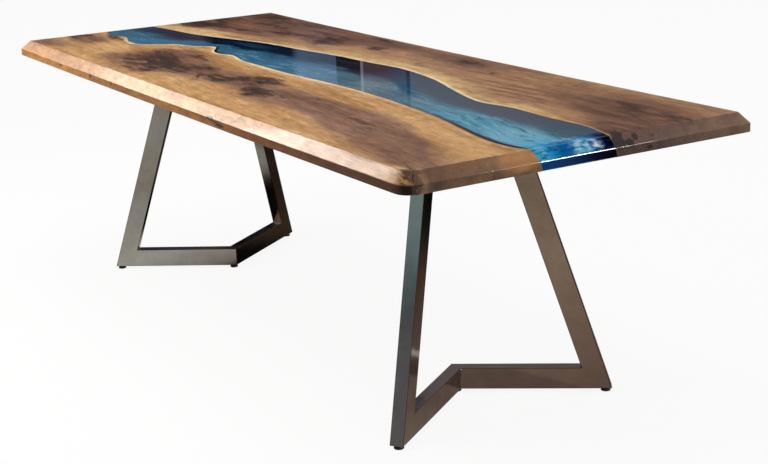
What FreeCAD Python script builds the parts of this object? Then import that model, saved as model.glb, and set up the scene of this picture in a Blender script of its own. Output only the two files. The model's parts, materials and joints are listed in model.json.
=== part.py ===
import FreeCAD, Part
import Sketcher
import math
import os

# Live edge dining table: two walnut slabs joined by a river of cast resin, carried at each
# end by a V of welded steel box section that stands on three screw levelling feet.
# Frame: origin on the floor under the middle of the top, +X along the table, +Z up.
# "near" is the -Y side and "far" the +Y side, "left" the -X end and "right" the +X end.

doc = FreeCAD.newDocument("LiveEdgeTable")
sheet = doc.addObject("Spreadsheet::Sheet", "Sizes")

# Driving dimensions in millimetres, angles in degrees: alias, value, meaning.
DIMENSIONS = (
    ("tableHeight", 765, "floor to the top surface"),
    ("topLength", 2500, "length of the top at its widest level"),
    ("topThick", 48, "thickness of slabs and resin"),
    ("bevelDrop", 26.5, "height of the bevel round the upper edge"),
    ("bevelRunEnd", 20, "how far the bevel runs in at the sawn ends"),
    ("bevelRunFar", 23, "bevel run along the far live edge"),
    ("bevelRunNearLeft", 30, "bevel run along the near live edge, left"),
    ("bevelRunNearRight", 19, "bevel run along the near live edge, right"),
    ("cornerRound", 42, "near right corner, plan radius below the bevel"),
    ("cornerTight", 8, "the other three corners, plan radius below the bevel"),
    ("cornerCrown", 0.5, "corner radii on the top surface, as a share of those below"),
    ("undersideArris", 2, "small chamfer round the underside"),
    ("nearEdge1", -489, "near live edge, left end"),
    ("nearEdge2", -489, "near live edge, between"),
    ("nearEdge3", -485, "near live edge, middle"),
    ("nearEdge4", -475, "near live edge, between"),
    ("nearEdge5", -468, "near live edge, right end"),
    ("farEdge1", 480, "far live edge, left end"),
    ("farEdge2", 472, "far live edge, between"),
    ("farEdge3", 466, "far live edge, middle"),
    ("farEdge4", 478, "far live edge, between"),
    ("farEdge5", 489, "far live edge, right end"),
    ("bankLean", 12, "sideways lean of the river banks over the thickness"),
    ("tubeDeep", 57, "box section, deep side"),
    ("tubeWide", 36, "box section, narrow side"),
    ("tubeWall", 3, "box section, wall"),
    ("tubeEdge", 1.5, "outside edge radius of the box section"),
    ("legHalfAngle", 54, "half of the plan angle between the two arms of a V"),
    ("vertexSetback", 536, "end of the top to the open side of a V's vertex"),
    ("baseReach", 392, "length of a base rail along its open side"),
    ("topReach", 166, "length of a top rail along its open side"),
    ("plateThick", 6, "mounting plate"),
    ("plateMargin", 4, "mounting plate past the top rails, along the table"),
    ("plateCorner", 12, "mounting plate, corner radius"),
    ("slotSlack", 0.5, "fixing slot to the bolt's shank, each side"),
    ("slotTravel", 12, "how far the wood can move a bolt along its slot"),
    ("slotSide", 25, "fixing slots from the plate's long sides"),
    ("slotEnd", 40, "outer fixing slots from the plate's ends"),
    ("slotPitch", 100, "inner fixing slots to the outer ones"),
    ("slotClear", 44.5, "inner fixing slots from the ends of the top rails"),
    ("boltDia", 8, "plate bolt shank"),
    ("boltShort", 3, "how far a plate bolt ends inside its insert"),
    ("boltHeadDia", 14, "plate bolt head"),
    ("boltHeadHigh", 4.5, "plate bolt head height"),
    ("washerDia", 24, "plate washer"),
    ("washerThick", 2, "plate washer"),
    ("insertWall", 2.95, "threaded insert in the wood, wall"),
    ("insertLong", 20, "threaded insert in the wood"),
    ("insertSpare", 3, "depth of the insert's hole past the insert"),
    ("slackFit", 0.05, "radial clearance of a thread or of a part in its hole"),
    ("padDia", 26, "levelling foot pad"),
    ("padEdge", 2, "chamfer of the pad's lower edge"),
    ("padTopDia", 23, "levelling foot pad, upper face"),
    ("padFloor", 2, "pad thickness under the stem's swivel disc"),
    ("padLip", 2.3, "pad thickness over the stem's swivel disc"),
    ("stemDia", 8, "levelling foot stem"),
    ("stemDiscDia", 13, "swivel disc at the stem's lower end"),
    ("stemDiscHigh", 2.5, "swivel disc"),
    ("stemCollarDia", 15, "hexagon collar of the stem, across corners"),
    ("stemCollarHigh", 2.4, "hexagon collar of the stem"),
    ("stemCollarRise", 0.4, "hexagon collar above the pad"),
    ("stemSpare", 8.8, "stem that stands above its nut"),
    ("stemLead", 1, "chamfer of the stem's upper end"),
    ("swivelGap", 0.2, "clearance of the stem in its pad and under the nut"),
    ("nutWall", 1.45, "rivet nut body, wall"),
    ("nutLong", 14, "rivet nut body above the flange"),
    ("nutRim", 1.5, "rivet nut flange past its body"),
    ("nutFlangeThick", 1, "rivet nut flange"),
    ("nutClear", 2.8, "outer foot's nut to the inside of the post's outer wall"),
)

# The two river banks. Each point is a pole of the bank's curve: a share of the half length
# along the table, and its offset from the middle line, in millimetres, on the top surface.
NEAR_BANK = (
    (-1.04, -190), (-0.98, -175), (-0.90, -220), (-0.85, -165), (-0.79, -205), (-0.74, -215),
    (-0.68, -214), (-0.62, -100), (-0.56, -104), (-0.51, -38), (-0.48, -44), (-0.43, -92),
    (-0.38, -92), (-0.34, -62), (-0.26, -98), (-0.16, -92), (0.00, -96), (0.16, -74),
    (0.34, -70), (0.51, -83), (0.67, -102), (0.78, -134), (0.86, -150), (0.93, -157),
    (0.98, -137), (1.04, -112),
)
FAR_BANK = (
    (-1.04, -24), (-0.96, -6), (-0.84, 6), (-0.72, 24), (-0.59, 70), (-0.45, 118),
    (-0.30, 130), (-0.14, 166), (0.00, 170), (0.10, 193), (0.19, 183), (0.30, 167),
    (0.40, 126), (0.50, 94), (0.58, 72), (0.64, 99), (0.70, 100), (0.78, 92),
    (0.86, 103), (0.92, 104), (0.97, 77), (1.04, 71),
)

# Where the poles of a live edge stand, as shares of the straight half of the top.
EDGE_STATIONS = (-1, -2 / 3, 0, 2 / 3, 1)

PAST = 3  # how many times over a cutting shape is larger than what it cuts
LEAST_CUT = 1e-3  # a pocket that takes less than this has missed, cubic millimetres
PARALLEL = 1e-6  # how far the cosine of two parallel directions may be from one


def fillSheet():
    rows = list(DIMENSIONS)
    for bankName, bank in (("nearBank", NEAR_BANK), ("farBank", FAR_BANK)):
        for place, (share, offset) in enumerate(bank):
            rows.append(("%sPole%d" % (bankName, place), offset, "river bank, offset of a pole"))
    for line, (alias, value, meaning) in enumerate(rows, start=1):
        sheet.set("A%d" % line, meaning)
        sheet.set("B%d" % line, str(value))
        sheet.setAlias("B%d" % line, alias)
    doc.recompute()


class Size:
    """A number together with the expression over the sheet that gives it."""

    def __init__(self, value, text):
        self.value = float(value)
        self.text = text

    def __add__(self, other):
        other = size(other)
        return Size(self.value + other.value, "(%s + %s)" % (self.text, other.text))

    def __sub__(self, other):
        other = size(other)
        return Size(self.value - other.value, "(%s - %s)" % (self.text, other.text))

    def __mul__(self, other):
        other = size(other)
        return Size(self.value * other.value, "(%s * %s)" % (self.text, other.text))

    def __truediv__(self, other):
        other = size(other)
        return Size(self.value / other.value, "(%s / %s)" % (self.text, other.text))

    def __neg__(self):
        return Size(-self.value, "(-1 * %s)" % self.text)


def size(number):
    if isinstance(number, Size):
        return number
    return Size(number, "(%.6f)" % number)


def dim(alias):
    return Size(sheet.get(alias), "Sizes." + alias)


def sine(angle):
    return Size(math.sin(math.radians(angle.value)), "sin(%s)" % angle.text)


def cosine(angle):
    return Size(math.cos(math.radians(angle.value)), "cos(%s)" % angle.text)


def root(number):
    return Size(math.sqrt(number.value), "sqrt(%s)" % number.text)


def bind(thing, path, amount):
    """Ties a property, such as Length or Placement.Base.x, to the sheet."""
    thing.setExpression(path, size(amount).text)


# ---------------------------------------------------------------- sketches and features


def newBody(label, x=0, y=0, z=0, turn=0):
    body = doc.addObject("PartDesign::Body", label)
    body.Label = label
    upright = FreeCAD.Rotation(FreeCAD.Vector(0, 0, 1), 1)
    body.Placement = FreeCAD.Placement(FreeCAD.Vector(0, 0, 0), upright)
    bind(body, "Placement.Base.x", x)
    bind(body, "Placement.Base.y", y)
    bind(body, "Placement.Base.z", z)
    bind(body, "Placement.Rotation.Angle", turn)
    return body


def originPart(body, role):
    for feature in body.Origin.OriginFeatures:
        if feature.Role == role:
            return feature
    raise ValueError(role)


def newSketch(body, name, plane, lift=0):
    """A sketch on one of the body's own origin planes, lifted off it by an amount."""
    sketch = body.newObject("Sketcher::SketchObject", body.Label + "_" + name)
    sketch.AttachmentSupport = (originPart(body, plane), [""])
    sketch.MapMode = "FlatFace"
    bind(sketch, "AttachmentOffset.Base.z", lift)
    return sketch


def pin(sketch, geometry, point, x=None, y=None):
    """Holds a point of a sketch at its distances from the sketch's origin."""
    for kind, amount in (("DistanceX", x), ("DistanceY", y)):
        if amount is not None:
            amount = size(amount)
            distance = Sketcher.Constraint(kind, -1, 1, geometry, point, amount.value)
            number = sketch.addConstraint(distance)
            sketch.setExpression("Constraints[%d]" % number, amount.text)


def at(x, y):
    return FreeCAD.Vector(size(x).value, size(y).value, 0)


def drawPolygon(sketch, corners):
    first = len(sketch.Geometry)
    count = len(corners)
    for place in range(count):
        drawLine(sketch, corners[place], corners[(place + 1) % count])
    for place in range(count):
        following = first + (place + 1) % count
        sketch.addConstraint(Sketcher.Constraint("Coincident", first + place, 2, following, 1))
    for place in range(count):
        pin(sketch, first + place, 1, *corners[place])


def drawCircle(sketch, x, y, radius):
    radius = size(radius)
    shape = Part.Circle(at(x, y), FreeCAD.Vector(0, 0, 1), radius.value)
    circle = sketch.addGeometry(shape, False)
    pin(sketch, circle, 3, x, y)
    number = sketch.addConstraint(Sketcher.Constraint("Radius", circle, radius.value))
    sketch.setExpression("Constraints[%d]" % number, radius.text)


def drawSpline(sketch, poles):
    """An open cubic curve whose poles are all pinned."""
    points = [at(*pole) for pole in poles]
    cubic = Part.BSplineCurve(points, None, None, False, 3, None, False)
    curve = sketch.addGeometry(cubic, False)
    sketch.exposeInternalGeometry(curve)
    for place, pole in enumerate(poles):
        pin(sketch, curve + 1 + place, 3, *pole)
    return curve


def drawLine(sketch, start, end):
    return sketch.addGeometry(Part.LineSegment(at(*start), at(*end)), False)


def drawCorner(sketch, centreX, centreY, radius, startAngle):
    """A quarter circle, drawn anticlockwise, as the corner of an outline."""
    arc = Part.ArcOfCircle(
        Part.Circle(at(centreX, centreY), FreeCAD.Vector(0, 0, 1), size(radius).value),
        math.radians(startAngle),
        math.radians(startAngle + 90),
    )
    corner = sketch.addGeometry(arc, False)
    pin(sketch, corner, 3, centreX, centreY)
    return corner


def pad(body, sketch, length, name="pad", reverse=False):
    feature = body.newObject("PartDesign::Pad", body.Label + "_" + name)
    feature.Profile = sketch
    feature.Reversed = reverse
    bind(feature, "Length", length)
    return feature


def pocket(body, sketch, name, length=None, reverse=False):
    """Cuts a sketch out of the body, through everything or to a length, and checks the cut."""
    before = body.Shape.Volume
    feature = body.newObject("PartDesign::Pocket", body.Label + "_" + name)
    feature.Profile = sketch
    feature.Reversed = reverse
    if length is None:
        feature.Type = "ThroughAll"
        feature.SideType = "Symmetric"
    else:
        bind(feature, "Length", length)
    doc.recompute()
    if not feature.Shape.Volume < before - LEAST_CUT:
        raise RuntimeError(feature.Label + " cuts nothing")
    return feature


def revolve(body, profile, name="turned"):
    """Turns a profile of radius and height about the body's Z axis."""
    sketch = newSketch(body, name + "_profile", "XZ_Plane")
    drawPolygon(sketch, profile)
    feature = body.newObject("PartDesign::Revolution", body.Label + "_" + name)
    feature.Profile = sketch
    feature.ReferenceAxis = (sketch, ["V_Axis"])
    feature.Angle = 360
    return feature


# ---------------------------------------------------------------- the top


def between(left, right, share):
    """A value along the top, from its left end at share -1 to its right end at share 1."""
    return left * ((1 - share) / 2) + right * ((1 + share) / 2)


def drawOutline(body, name, height, endIn, nearIn, farIn, roundRadius, tightRadius):
    """The plan of the top at one height. nearIn holds the left and the right inset."""
    sketch = newSketch(body, name, "XY_Plane", height)
    half = dim("topLength") / 2 - endIn
    leftStart = tightRadius - half
    nearStop = half - roundRadius
    farStop = half - tightRadius
    near = []
    far = []
    for number, share in enumerate(EDGE_STATIONS, start=1):
        nearInset = between(nearIn[0], nearIn[1], share)
        nearAlong = between(leftStart, nearStop, share)
        near.append((nearAlong, dim("nearEdge%d" % number) + nearInset))
        far.append((between(leftStart, farStop, share), dim("farEdge%d" % number) - farIn))
    far.reverse()
    corners = (
        (nearStop, near[-1][1] + roundRadius, 270),
        (farStop, far[0][1] - tightRadius, 0),
        (leftStart, far[-1][1] - tightRadius, 90),
        (leftStart, near[0][1] + tightRadius, 180),
    )
    radii = (roundRadius, tightRadius, tightRadius, tightRadius)
    nearCurve = drawSpline(sketch, near)
    farCurve = drawSpline(sketch, far)
    arcs = [drawCorner(sketch, x, y, radius, angle) for (x, y, angle), radius in zip(corners, radii)]
    right = drawLine(sketch, (half, corners[0][1]), (half, corners[1][1]))
    left = drawLine(sketch, (-half, corners[2][1]), (-half, corners[3][1]))
    joints = (
        (nearCurve, arcs[0]), (arcs[0], right), (right, arcs[1]), (arcs[1], farCurve),
        (farCurve, arcs[2]), (arcs[2], left), (left, arcs[3]), (arcs[3], nearCurve),
    )
    for one, other in joints:
        sketch.addConstraint(Sketcher.Constraint("Coincident", one, 2, other, 1))
    for line, ends in ((right, corners[:2]), (left, corners[2:])):
        pin(sketch, line, 1, y=ends[0][1])
        pin(sketch, line, 2, y=ends[1][1])
    return sketch


def makeTopBlank():
    """The whole top as glued and moulded, before it is told apart into wood and resin."""
    body = newBody("top_blank")
    height = dim("tableHeight")
    none = size(0)
    wide = dim("cornerRound")
    tight = dim("cornerTight")
    share = dim("cornerCrown")
    underside = height - dim("topThick")
    crease = height - dim("bevelDrop")
    nearRuns = (dim("bevelRunNearLeft"), dim("bevelRunNearRight"))
    arris = dim("undersideArris")
    chamfered = (arris, (arris, arris), arris, wide - arris, tight - arris)
    plain = (none, (none, none), none, wide, tight)
    crown = (dim("bevelRunEnd"), nearRuns, dim("bevelRunFar"), wide * share, tight * share)
    low = drawOutline(body, "underside", underside, *chamfered)
    bandLow = drawOutline(body, "band_low", underside + arris, *plain)
    bandHigh = drawOutline(body, "band_high", crease, *plain)
    high = drawOutline(body, "crown", height, *crown)
    loft = body.newObject("PartDesign::AdditiveLoft", "top_blank_loft")
    loft.Profile = low
    loft.Sections = [bandLow, bandHigh, high]
    loft.Ruled = True
    doc.recompute()
    return body


def bankPoles(name, bank):
    """A river bank on the top surface, from left to right."""
    half = dim("topLength") / 2
    return [(half * share, dim("%sPole%d" % (name, place))) for place, (share, _) in enumerate(bank)]


def drawSide(sketch, side):
    """A river bank, or a straight line where only two points are given."""
    if len(side) > 2:
        return drawSpline(sketch, side)
    line = drawLine(sketch, *side)
    pin(sketch, line, 1, *side[0])
    pin(sketch, line, 2, *side[1])
    return line


def makeMould(label, nearSide, farSide):
    """All that lies between two sides, which lean as the banks do and run past the top."""
    body = newBody(label)
    sketch = newSketch(body, "plan", "XY_Plane", dim("tableHeight"))
    near = drawSide(sketch, nearSide)
    far = drawSide(sketch, farSide)
    left = drawLine(sketch, farSide[0], nearSide[0])
    right = drawLine(sketch, nearSide[-1], farSide[-1])
    for one, oneEnd, other, otherEnd in (
        (left, 1, far, 1), (left, 2, near, 1), (right, 1, near, 2), (right, 2, far, 2),
    ):
        sketch.addConstraint(Sketcher.Constraint("Coincident", one, oneEnd, other, otherEnd))
    banks = pad(body, sketch, dim("topThick") * PAST)
    banks.UseCustomVector = True
    banks.AlongSketchNormal = True
    banks.SideType = "Symmetric"
    banks.Direction = FreeCAD.Vector(0, 1, -1)
    bind(banks, "Direction.y", dim("bankLean"))
    bind(banks, "Direction.z", -dim("topThick"))
    doc.recompute()
    return body


def boolean(kind, label, base, tool):
    feature = doc.addObject("Part::" + kind, label)
    feature.Label = label
    feature.Base = base
    feature.Tool = tool
    return feature


def makeTop(sockets):
    blank = makeTopBlank()
    nearBank = bankPoles("nearBank", NEAR_BANK)
    farBank = bankPoles("farBank", FAR_BANK)
    clear = dim("topLength")
    nearClear = [(nearBank[0][0], -clear), (nearBank[-1][0], -clear)]
    farClear = [(farBank[0][0], clear), (farBank[-1][0], clear)]
    resinMould = makeMould("resin_mould", nearBank, farBank)
    nearMould = makeMould("near_mould", nearClear, nearBank)
    farMould = makeMould("far_mould", farBank, farClear)
    bored = boolean("Cut", "top_bored", blank, sockets)
    return [
        boolean("Common", "resin_river", bored, resinMould),
        boolean("Common", "walnut_slab_near", bored, nearMould),
        boolean("Common", "walnut_slab_far", bored, farMould),
    ]


# ---------------------------------------------------------------- the leg frames


def vertexReach():
    return dim("topLength") / 2 - dim("vertexSetback")


def padHeight():
    return dim("padFloor") + dim("stemDiscHigh") + dim("swivelGap") + dim("padLip")


def railHeight():
    """Floor to the underside of the base rails: all that a foot shows below them."""
    collar = dim("stemCollarRise") + dim("stemCollarHigh")
    return padHeight() + collar + dim("swivelGap") + dim("nutFlangeThick")


def nutRadius():
    return dim("stemDia") / 2 + dim("slackFit") + dim("nutWall")


def legLine():
    """Levels of an arm, how far its post leans in per height, and its slant length per height."""
    low = railHeight()
    high = dim("tableHeight") - dim("topThick") - dim("plateThick")
    lean = (dim("baseReach") - dim("topReach")) / (high - low)
    slant = root(lean * lean + 1)
    return low, high, lean, slant


def tubeOutlines():
    """Side view of each tube of an arm and of its cavity, as reach along the arm and height.

    Every mitre runs from the outer to the inner corner of a joint. A cavity runs on past
    both mitres, so the tubes of an arm are open to each other inside.
    """
    low, high, lean, slant = legLine()
    deep = dim("tubeDeep")
    wall = dim("tubeWall")
    across = deep * slant
    back = -dim("tubeWide") * 2
    past = dim("baseReach") + deep
    footOuter = dim("baseReach")
    crownOuter = dim("topReach")
    footInner = footOuter - lean * deep - across
    crownInner = crownOuter + lean * deep - across

    def onPost(offset, height):
        """A point on a line along the post, set in from its outer side."""
        return (footOuter - offset - lean * (height - low), height)

    def cavity(floor):
        """The hollow of a level tube, whose underside is at a height."""
        under = floor + wall
        over = floor + deep - wall
        return ((back, under), (past, under), (past, over), (back, over))

    base = ((back, low), (footOuter, low), (footInner, low + deep), (back, low + deep))
    post = ((footInner, low + deep), (footOuter, low), (crownOuter, high), (crownInner, high - deep))
    top = ((back, high - deep), (crownInner, high - deep), (crownOuter, high), (back, high))
    outside = wall * slant
    inside = across - outside
    postCavity = (
        onPost(inside, low - deep), onPost(outside, low - deep),
        onPost(outside, high + deep), onPost(inside, high + deep),
    )
    return {
        "base_rail": (base, cavity(low), (1, 0)),
        "post": (post, postCavity, (-lean.value, 1)),
        "top_rail": (top, cavity(high - deep), (1, 0)),
    }


def footReach():
    """How far out along its base rail an outer foot stands: its nut is clear of the post."""
    low, high, lean, slant = legLine()
    postWall = lean * dim("nutLong") + dim("tubeWall") * slant
    return dim("baseReach") - postWall - dim("nutClear") - nutRadius()


def edgesAlong(shape, run, rise):
    """Names of the straight edges that lie along a direction in the arm's upright plane."""
    direction = FreeCAD.Vector(run, 0, rise).normalize()
    names = []
    for number, edge in enumerate(shape.Edges, start=1):
        step = (edge.Vertexes[-1].Point - edge.Vertexes[0].Point).normalize()
        if abs(abs(step.dot(direction)) - 1) < PARALLEL:
            names.append("Edge%d" % number)
    return names


def makeTube(kind, side, half):
    """One tube of an arm. Its body lies at the V's vertex, with X out along the arm."""
    sideName = "right" if side > 0 else "left"
    halfName = "far" if half > 0 else "near"
    hand = side * half
    angle = dim("legHalfAngle")
    turn = angle * half if side > 0 else size(180) - angle * half
    label = "%s_%s_%s" % (kind, sideName, halfName)
    body = newBody(label, x=vertexReach() * side, turn=turn)
    outline, hollow, along = tubeOutlines()[kind]
    wide = dim("tubeWide")
    wall = dim("tubeWall")
    sketch = newSketch(body, "outline", "XZ_Plane")
    drawPolygon(sketch, outline)
    block = pad(body, sketch, wide, reverse=hand > 0)
    doc.recompute()
    rounded = body.newObject("PartDesign::Fillet", body.Label + "_edges")
    rounded.Base = (block, edgesAlong(block.Shape, *along))
    bind(rounded, "Radius", dim("tubeEdge"))
    doc.recompute()
    behind = wide * cosine(angle) / sine(angle)
    if kind != "post":
        mitre = newSketch(body, "vertex_mitre", "XY_Plane")
        inside = (behind, -wide * hand)
        outside = (-behind * 2, wide * hand * 2)
        away = -wide * PAST
        drawPolygon(mitre, (inside, outside, (away, outside[1]), (away, inside[1])))
        pocket(body, mitre, "vertex_cut")
    inner = newSketch(body, "cavity", "XZ_Plane", -wall * hand)
    drawPolygon(inner, hollow)
    pocket(body, inner, "bore", wide - wall * 2, reverse=hand < 0)
    if kind == "base_rail":
        holes = newSketch(body, "nut_holes", "XY_Plane", railHeight() + wall * 2)
        radius = nutRadius() + dim("slackFit")
        drawCircle(holes, -behind / 2, wide * hand / 2, radius)
        drawCircle(holes, footReach(), wide * hand / 2, radius)
        pocket(body, holes, "nut_seats", wall * PAST)
    return body


# ---------------------------------------------------------------- plates and their fixings


def plateSpan():
    """How near to and how far from the middle of the table a plate reaches."""
    angle = dim("legHalfAngle")
    vertex = vertexReach() - dim("tubeWide") / sine(angle)
    railEnd = vertexReach() + dim("topReach") * cosine(angle)
    return vertex - dim("plateMargin"), railEnd + dim("plateMargin")


def firstFixing():
    """The first of a plate's fixings, from the plate's middle: an inner one, outwards and far."""
    angle = dim("legHalfAngle")
    start, end = plateSpan()
    railEnd = dim("topReach") * sine(angle) + dim("tubeWide") * cosine(angle)
    return (end - start) / 2 - dim("slotSide"), railEnd + dim("slotClear")


def plateBody(name, side, height):
    """A body at the middle of a mounting plate, at a height of its own."""
    sideName = "right" if side > 0 else "left"
    start, end = plateSpan()
    return newBody("%s_%s" % (name, sideName), x=(start + end) / 2 * side, z=height)


def atEveryFixing(body, features):
    """Repeats features that stand at the first fixing at all eight of a plate."""
    pattern = body.newObject("PartDesign::MultiTransform", body.Label + "_fixings")
    rows = body.newObject("PartDesign::LinearPattern", body.Label + "_rows")
    rows.Direction = (originPart(body, "Y_Axis"), [""])
    rows.Occurrences = 2
    bind(rows, "Length", dim("slotPitch"))
    across = body.newObject("PartDesign::Mirrored", body.Label + "_across")
    across.MirrorPlane = (originPart(body, "XZ_Plane"), [""])
    along = body.newObject("PartDesign::Mirrored", body.Label + "_along")
    along.MirrorPlane = (originPart(body, "YZ_Plane"), [""])
    pattern.Originals = features
    pattern.Transformations = [rows, across, along]
    body.Tip = pattern
    doc.recompute()
    return body


def drawSlot(sketch):
    """A round-ended slot across the table, at the first fixing."""
    radius = dim("boltDia") / 2 + dim("slotSlack")
    reach = dim("slotTravel") / 2
    x, y = firstFixing()
    up = drawLine(sketch, (x + radius, y - reach), (x + radius, y + reach))
    down = drawLine(sketch, (x - radius, y + reach), (x - radius, y - reach))
    for line, sign in ((up, 1), (down, -1)):
        pin(sketch, line, 1, x + radius * sign, y - reach * sign)
        pin(sketch, line, 2, x + radius * sign, y + reach * sign)
    for end, start, middle, degrees in ((up, down, y + reach, 0), (down, up, y - reach, 180)):
        circle = Part.Circle(at(x, middle), FreeCAD.Vector(0, 0, 1), radius.value)
        arc = Part.ArcOfCircle(circle, math.radians(degrees), math.radians(degrees + 180))
        cap = sketch.addGeometry(arc, False)
        sketch.addConstraint(Sketcher.Constraint("Coincident", end, 2, cap, 1))
        sketch.addConstraint(Sketcher.Constraint("Coincident", cap, 2, start, 1))
        pin(sketch, cap, 3, y=middle)


def makePlate(side):
    body = plateBody("mounting_plate", side, dim("tableHeight") - dim("topThick") - dim("plateThick"))
    sketch = newSketch(body, "outline", "XY_Plane")
    x, y = firstFixing()
    x = x + dim("slotSide")
    y = y + dim("slotPitch") + dim("slotEnd")
    drawPolygon(sketch, ((-x, -y), (x, -y), (x, y), (-x, y)))
    slab = pad(body, sketch, dim("plateThick"))
    doc.recompute()
    upright = [
        "Edge%d" % number for number, edge in enumerate(slab.Shape.Edges, start=1)
        if edge.BoundBox.ZLength > dim("plateThick").value / 2
    ]
    corners = body.newObject("PartDesign::Fillet", body.Label + "_corners")
    corners.Base = (slab, upright)
    bind(corners, "Radius", dim("plateCorner"))
    doc.recompute()
    slot = newSketch(body, "slot", "XY_Plane")
    drawSlot(slot)
    return atEveryFixing(body, [pocket(body, slot, "slot_cut")])


def disc(body, name, base, height, radius, bore=None):
    """A disc or ring at the first fixing, upwards from a level of the body."""
    sketch = newSketch(body, name, "XY_Plane", base)
    x, y = firstFixing()
    drawCircle(sketch, x, y, radius)
    if bore is not None:
        drawCircle(sketch, x, y, bore)
    return pad(body, sketch, height, name + "_pad")


def makeFixings(side):
    """Bolts, washers and inserts of a plate, and the holes that the inserts sit in."""
    underside = dim("tableHeight") - dim("topThick")
    plateUnder = underside - dim("plateThick")
    washerUnder = plateUnder - dim("washerThick")
    shank = dim("boltDia") / 2
    threadHole = shank + dim("slackFit")
    sleeveRadius = threadHole + dim("insertWall")
    boltLong = dim("washerThick") + dim("plateThick") + dim("insertLong") - dim("boltShort")
    bolts = plateBody("plate_bolts", side, washerUnder)
    head = disc(bolts, "head", -dim("boltHeadHigh"), dim("boltHeadHigh"), dim("boltHeadDia") / 2)
    rod = disc(bolts, "shank", size(0), boltLong, shank)
    atEveryFixing(bolts, [head, rod])
    washers = plateBody("plate_washers", side, washerUnder)
    ring = disc(washers, "ring", size(0), dim("washerThick"), dim("washerDia") / 2, threadHole)
    atEveryFixing(washers, [ring])
    inserts = plateBody("wood_inserts", side, underside)
    sleeve = disc(inserts, "sleeve", size(0), dim("insertLong"), sleeveRadius, threadHole)
    atEveryFixing(inserts, [sleeve])
    sockets = plateBody("insert_sockets", side, underside)
    depth = dim("insertLong") + dim("insertSpare")
    hole = disc(sockets, "hole", -depth, depth * 2, sleeveRadius + dim("slackFit"))
    atEveryFixing(sockets, [hole])
    return [bolts, washers, inserts], sockets


# ---------------------------------------------------------------- levelling feet


def footSpots():
    """Name and place of the six levelling feet."""
    angle = dim("legHalfAngle")
    aside = dim("tubeWide") / 2
    reach = footReach()
    outX = vertexReach() + reach * cosine(angle) - aside * sine(angle)
    outY = reach * sine(angle) + aside * cosine(angle)
    vertexX = vertexReach() - aside / sine(angle)
    spots = []
    for sideName, side in (("left", -1), ("right", 1)):
        spots.append((sideName + "_near", outX * side, -outY))
        spots.append((sideName + "_far", outX * side, outY))
        spots.append((sideName + "_vertex", vertexX * side, size(0)))
    return spots


def makePad(place, x, y):
    body = newBody("foot_pad_" + place, x=x, y=y)
    gap = dim("swivelGap")
    high = padHeight()
    floor = dim("padFloor")
    outer = dim("padDia") / 2
    neck = dim("stemDia") / 2 + gap
    pocketRadius = dim("stemDiscDia") / 2 + gap
    ceiling = floor + dim("stemDiscHigh") + gap
    revolve(body, (
        (0, 0), (outer - dim("padEdge"), 0), (outer, dim("padEdge")), (dim("padTopDia") / 2, high),
        (neck, high), (neck, ceiling), (pocketRadius, ceiling), (pocketRadius, floor), (0, floor),
    ))
    return body


def makeStem(place, x, y):
    body = newBody("foot_stem_" + place, x=x, y=y)
    radius = dim("stemDia") / 2
    discRadius = dim("stemDiscDia") / 2
    floor = dim("padFloor")
    discTop = floor + dim("stemDiscHigh")
    end = railHeight() + dim("nutLong") + dim("stemSpare")
    lead = dim("stemLead")
    revolve(body, (
        (0, floor), (discRadius, floor), (discRadius, discTop), (radius, discTop),
        (radius, end - lead), (radius - lead, end), (0, end),
    ))
    collar = newSketch(body, "collar", "XY_Plane", padHeight() + dim("stemCollarRise"))
    corner = dim("stemCollarDia") / 2
    turns = [math.pi / 3 * step for step in range(6)]
    drawPolygon(collar, [(corner * math.cos(turn), corner * math.sin(turn)) for turn in turns])
    pad(body, collar, dim("stemCollarHigh"))
    return body


def makeNut(place, x, y):
    body = newBody("foot_nut_" + place, x=x, y=y)
    bore = dim("stemDia") / 2 + dim("slackFit")
    outer = nutRadius()
    rail = railHeight()
    under = rail - dim("nutFlangeThick")
    end = rail + dim("nutLong")
    rim = outer + dim("nutRim")
    revolve(body, (
        (bore, under), (rim, under), (rim, rail), (outer, rail), (outer, end), (bore, end),
    ))
    return body


# ---------------------------------------------------------------- the whole table


def build():
    fillSheet()
    parts = []
    socketBodies = []
    for side in (-1, 1):
        for kind in ("base_rail", "post", "top_rail"):
            for half in (-1, 1):
                parts.append(makeTube(kind, side, half))
        parts.append(makePlate(side))
        fixings, sockets = makeFixings(side)
        parts.extend(fixings)
        socketBodies.append(sockets)
    for place, x, y in footSpots():
        parts.extend((makePad(place, x, y), makeStem(place, x, y), makeNut(place, x, y)))
    sockets = doc.addObject("Part::Compound", "all_sockets")
    sockets.Links = socketBodies
    parts.extend(makeTop(sockets))
    doc.recompute()
    return parts


def check(parts):
    for thing in doc.Objects:
        if "Invalid" in thing.State or "Error" in thing.State:
            raise RuntimeError("%s did not build: %s" % (thing.Label, thing.State))
    for part in parts:
        if part.Shape.isNull() or not part.Shape.isValid() or not part.Shape.Solids:
            raise RuntimeError(part.Label + " has no valid solid")


def export(parts):
    os.makedirs("parts", exist_ok=True)
    for part in parts:
        part.Shape.exportStep("parts/%s.step" % part.Label)
        print("%-24s %d solid(s) %12.1f mm3" % (part.Label, len(part.Shape.Solids), part.Shape.Volume))


parts = build()
check(parts)
export(parts)
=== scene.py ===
import json
import math
from functools import partial
import bpy
import numpy as np
from mathutils import Matrix, Vector


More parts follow.
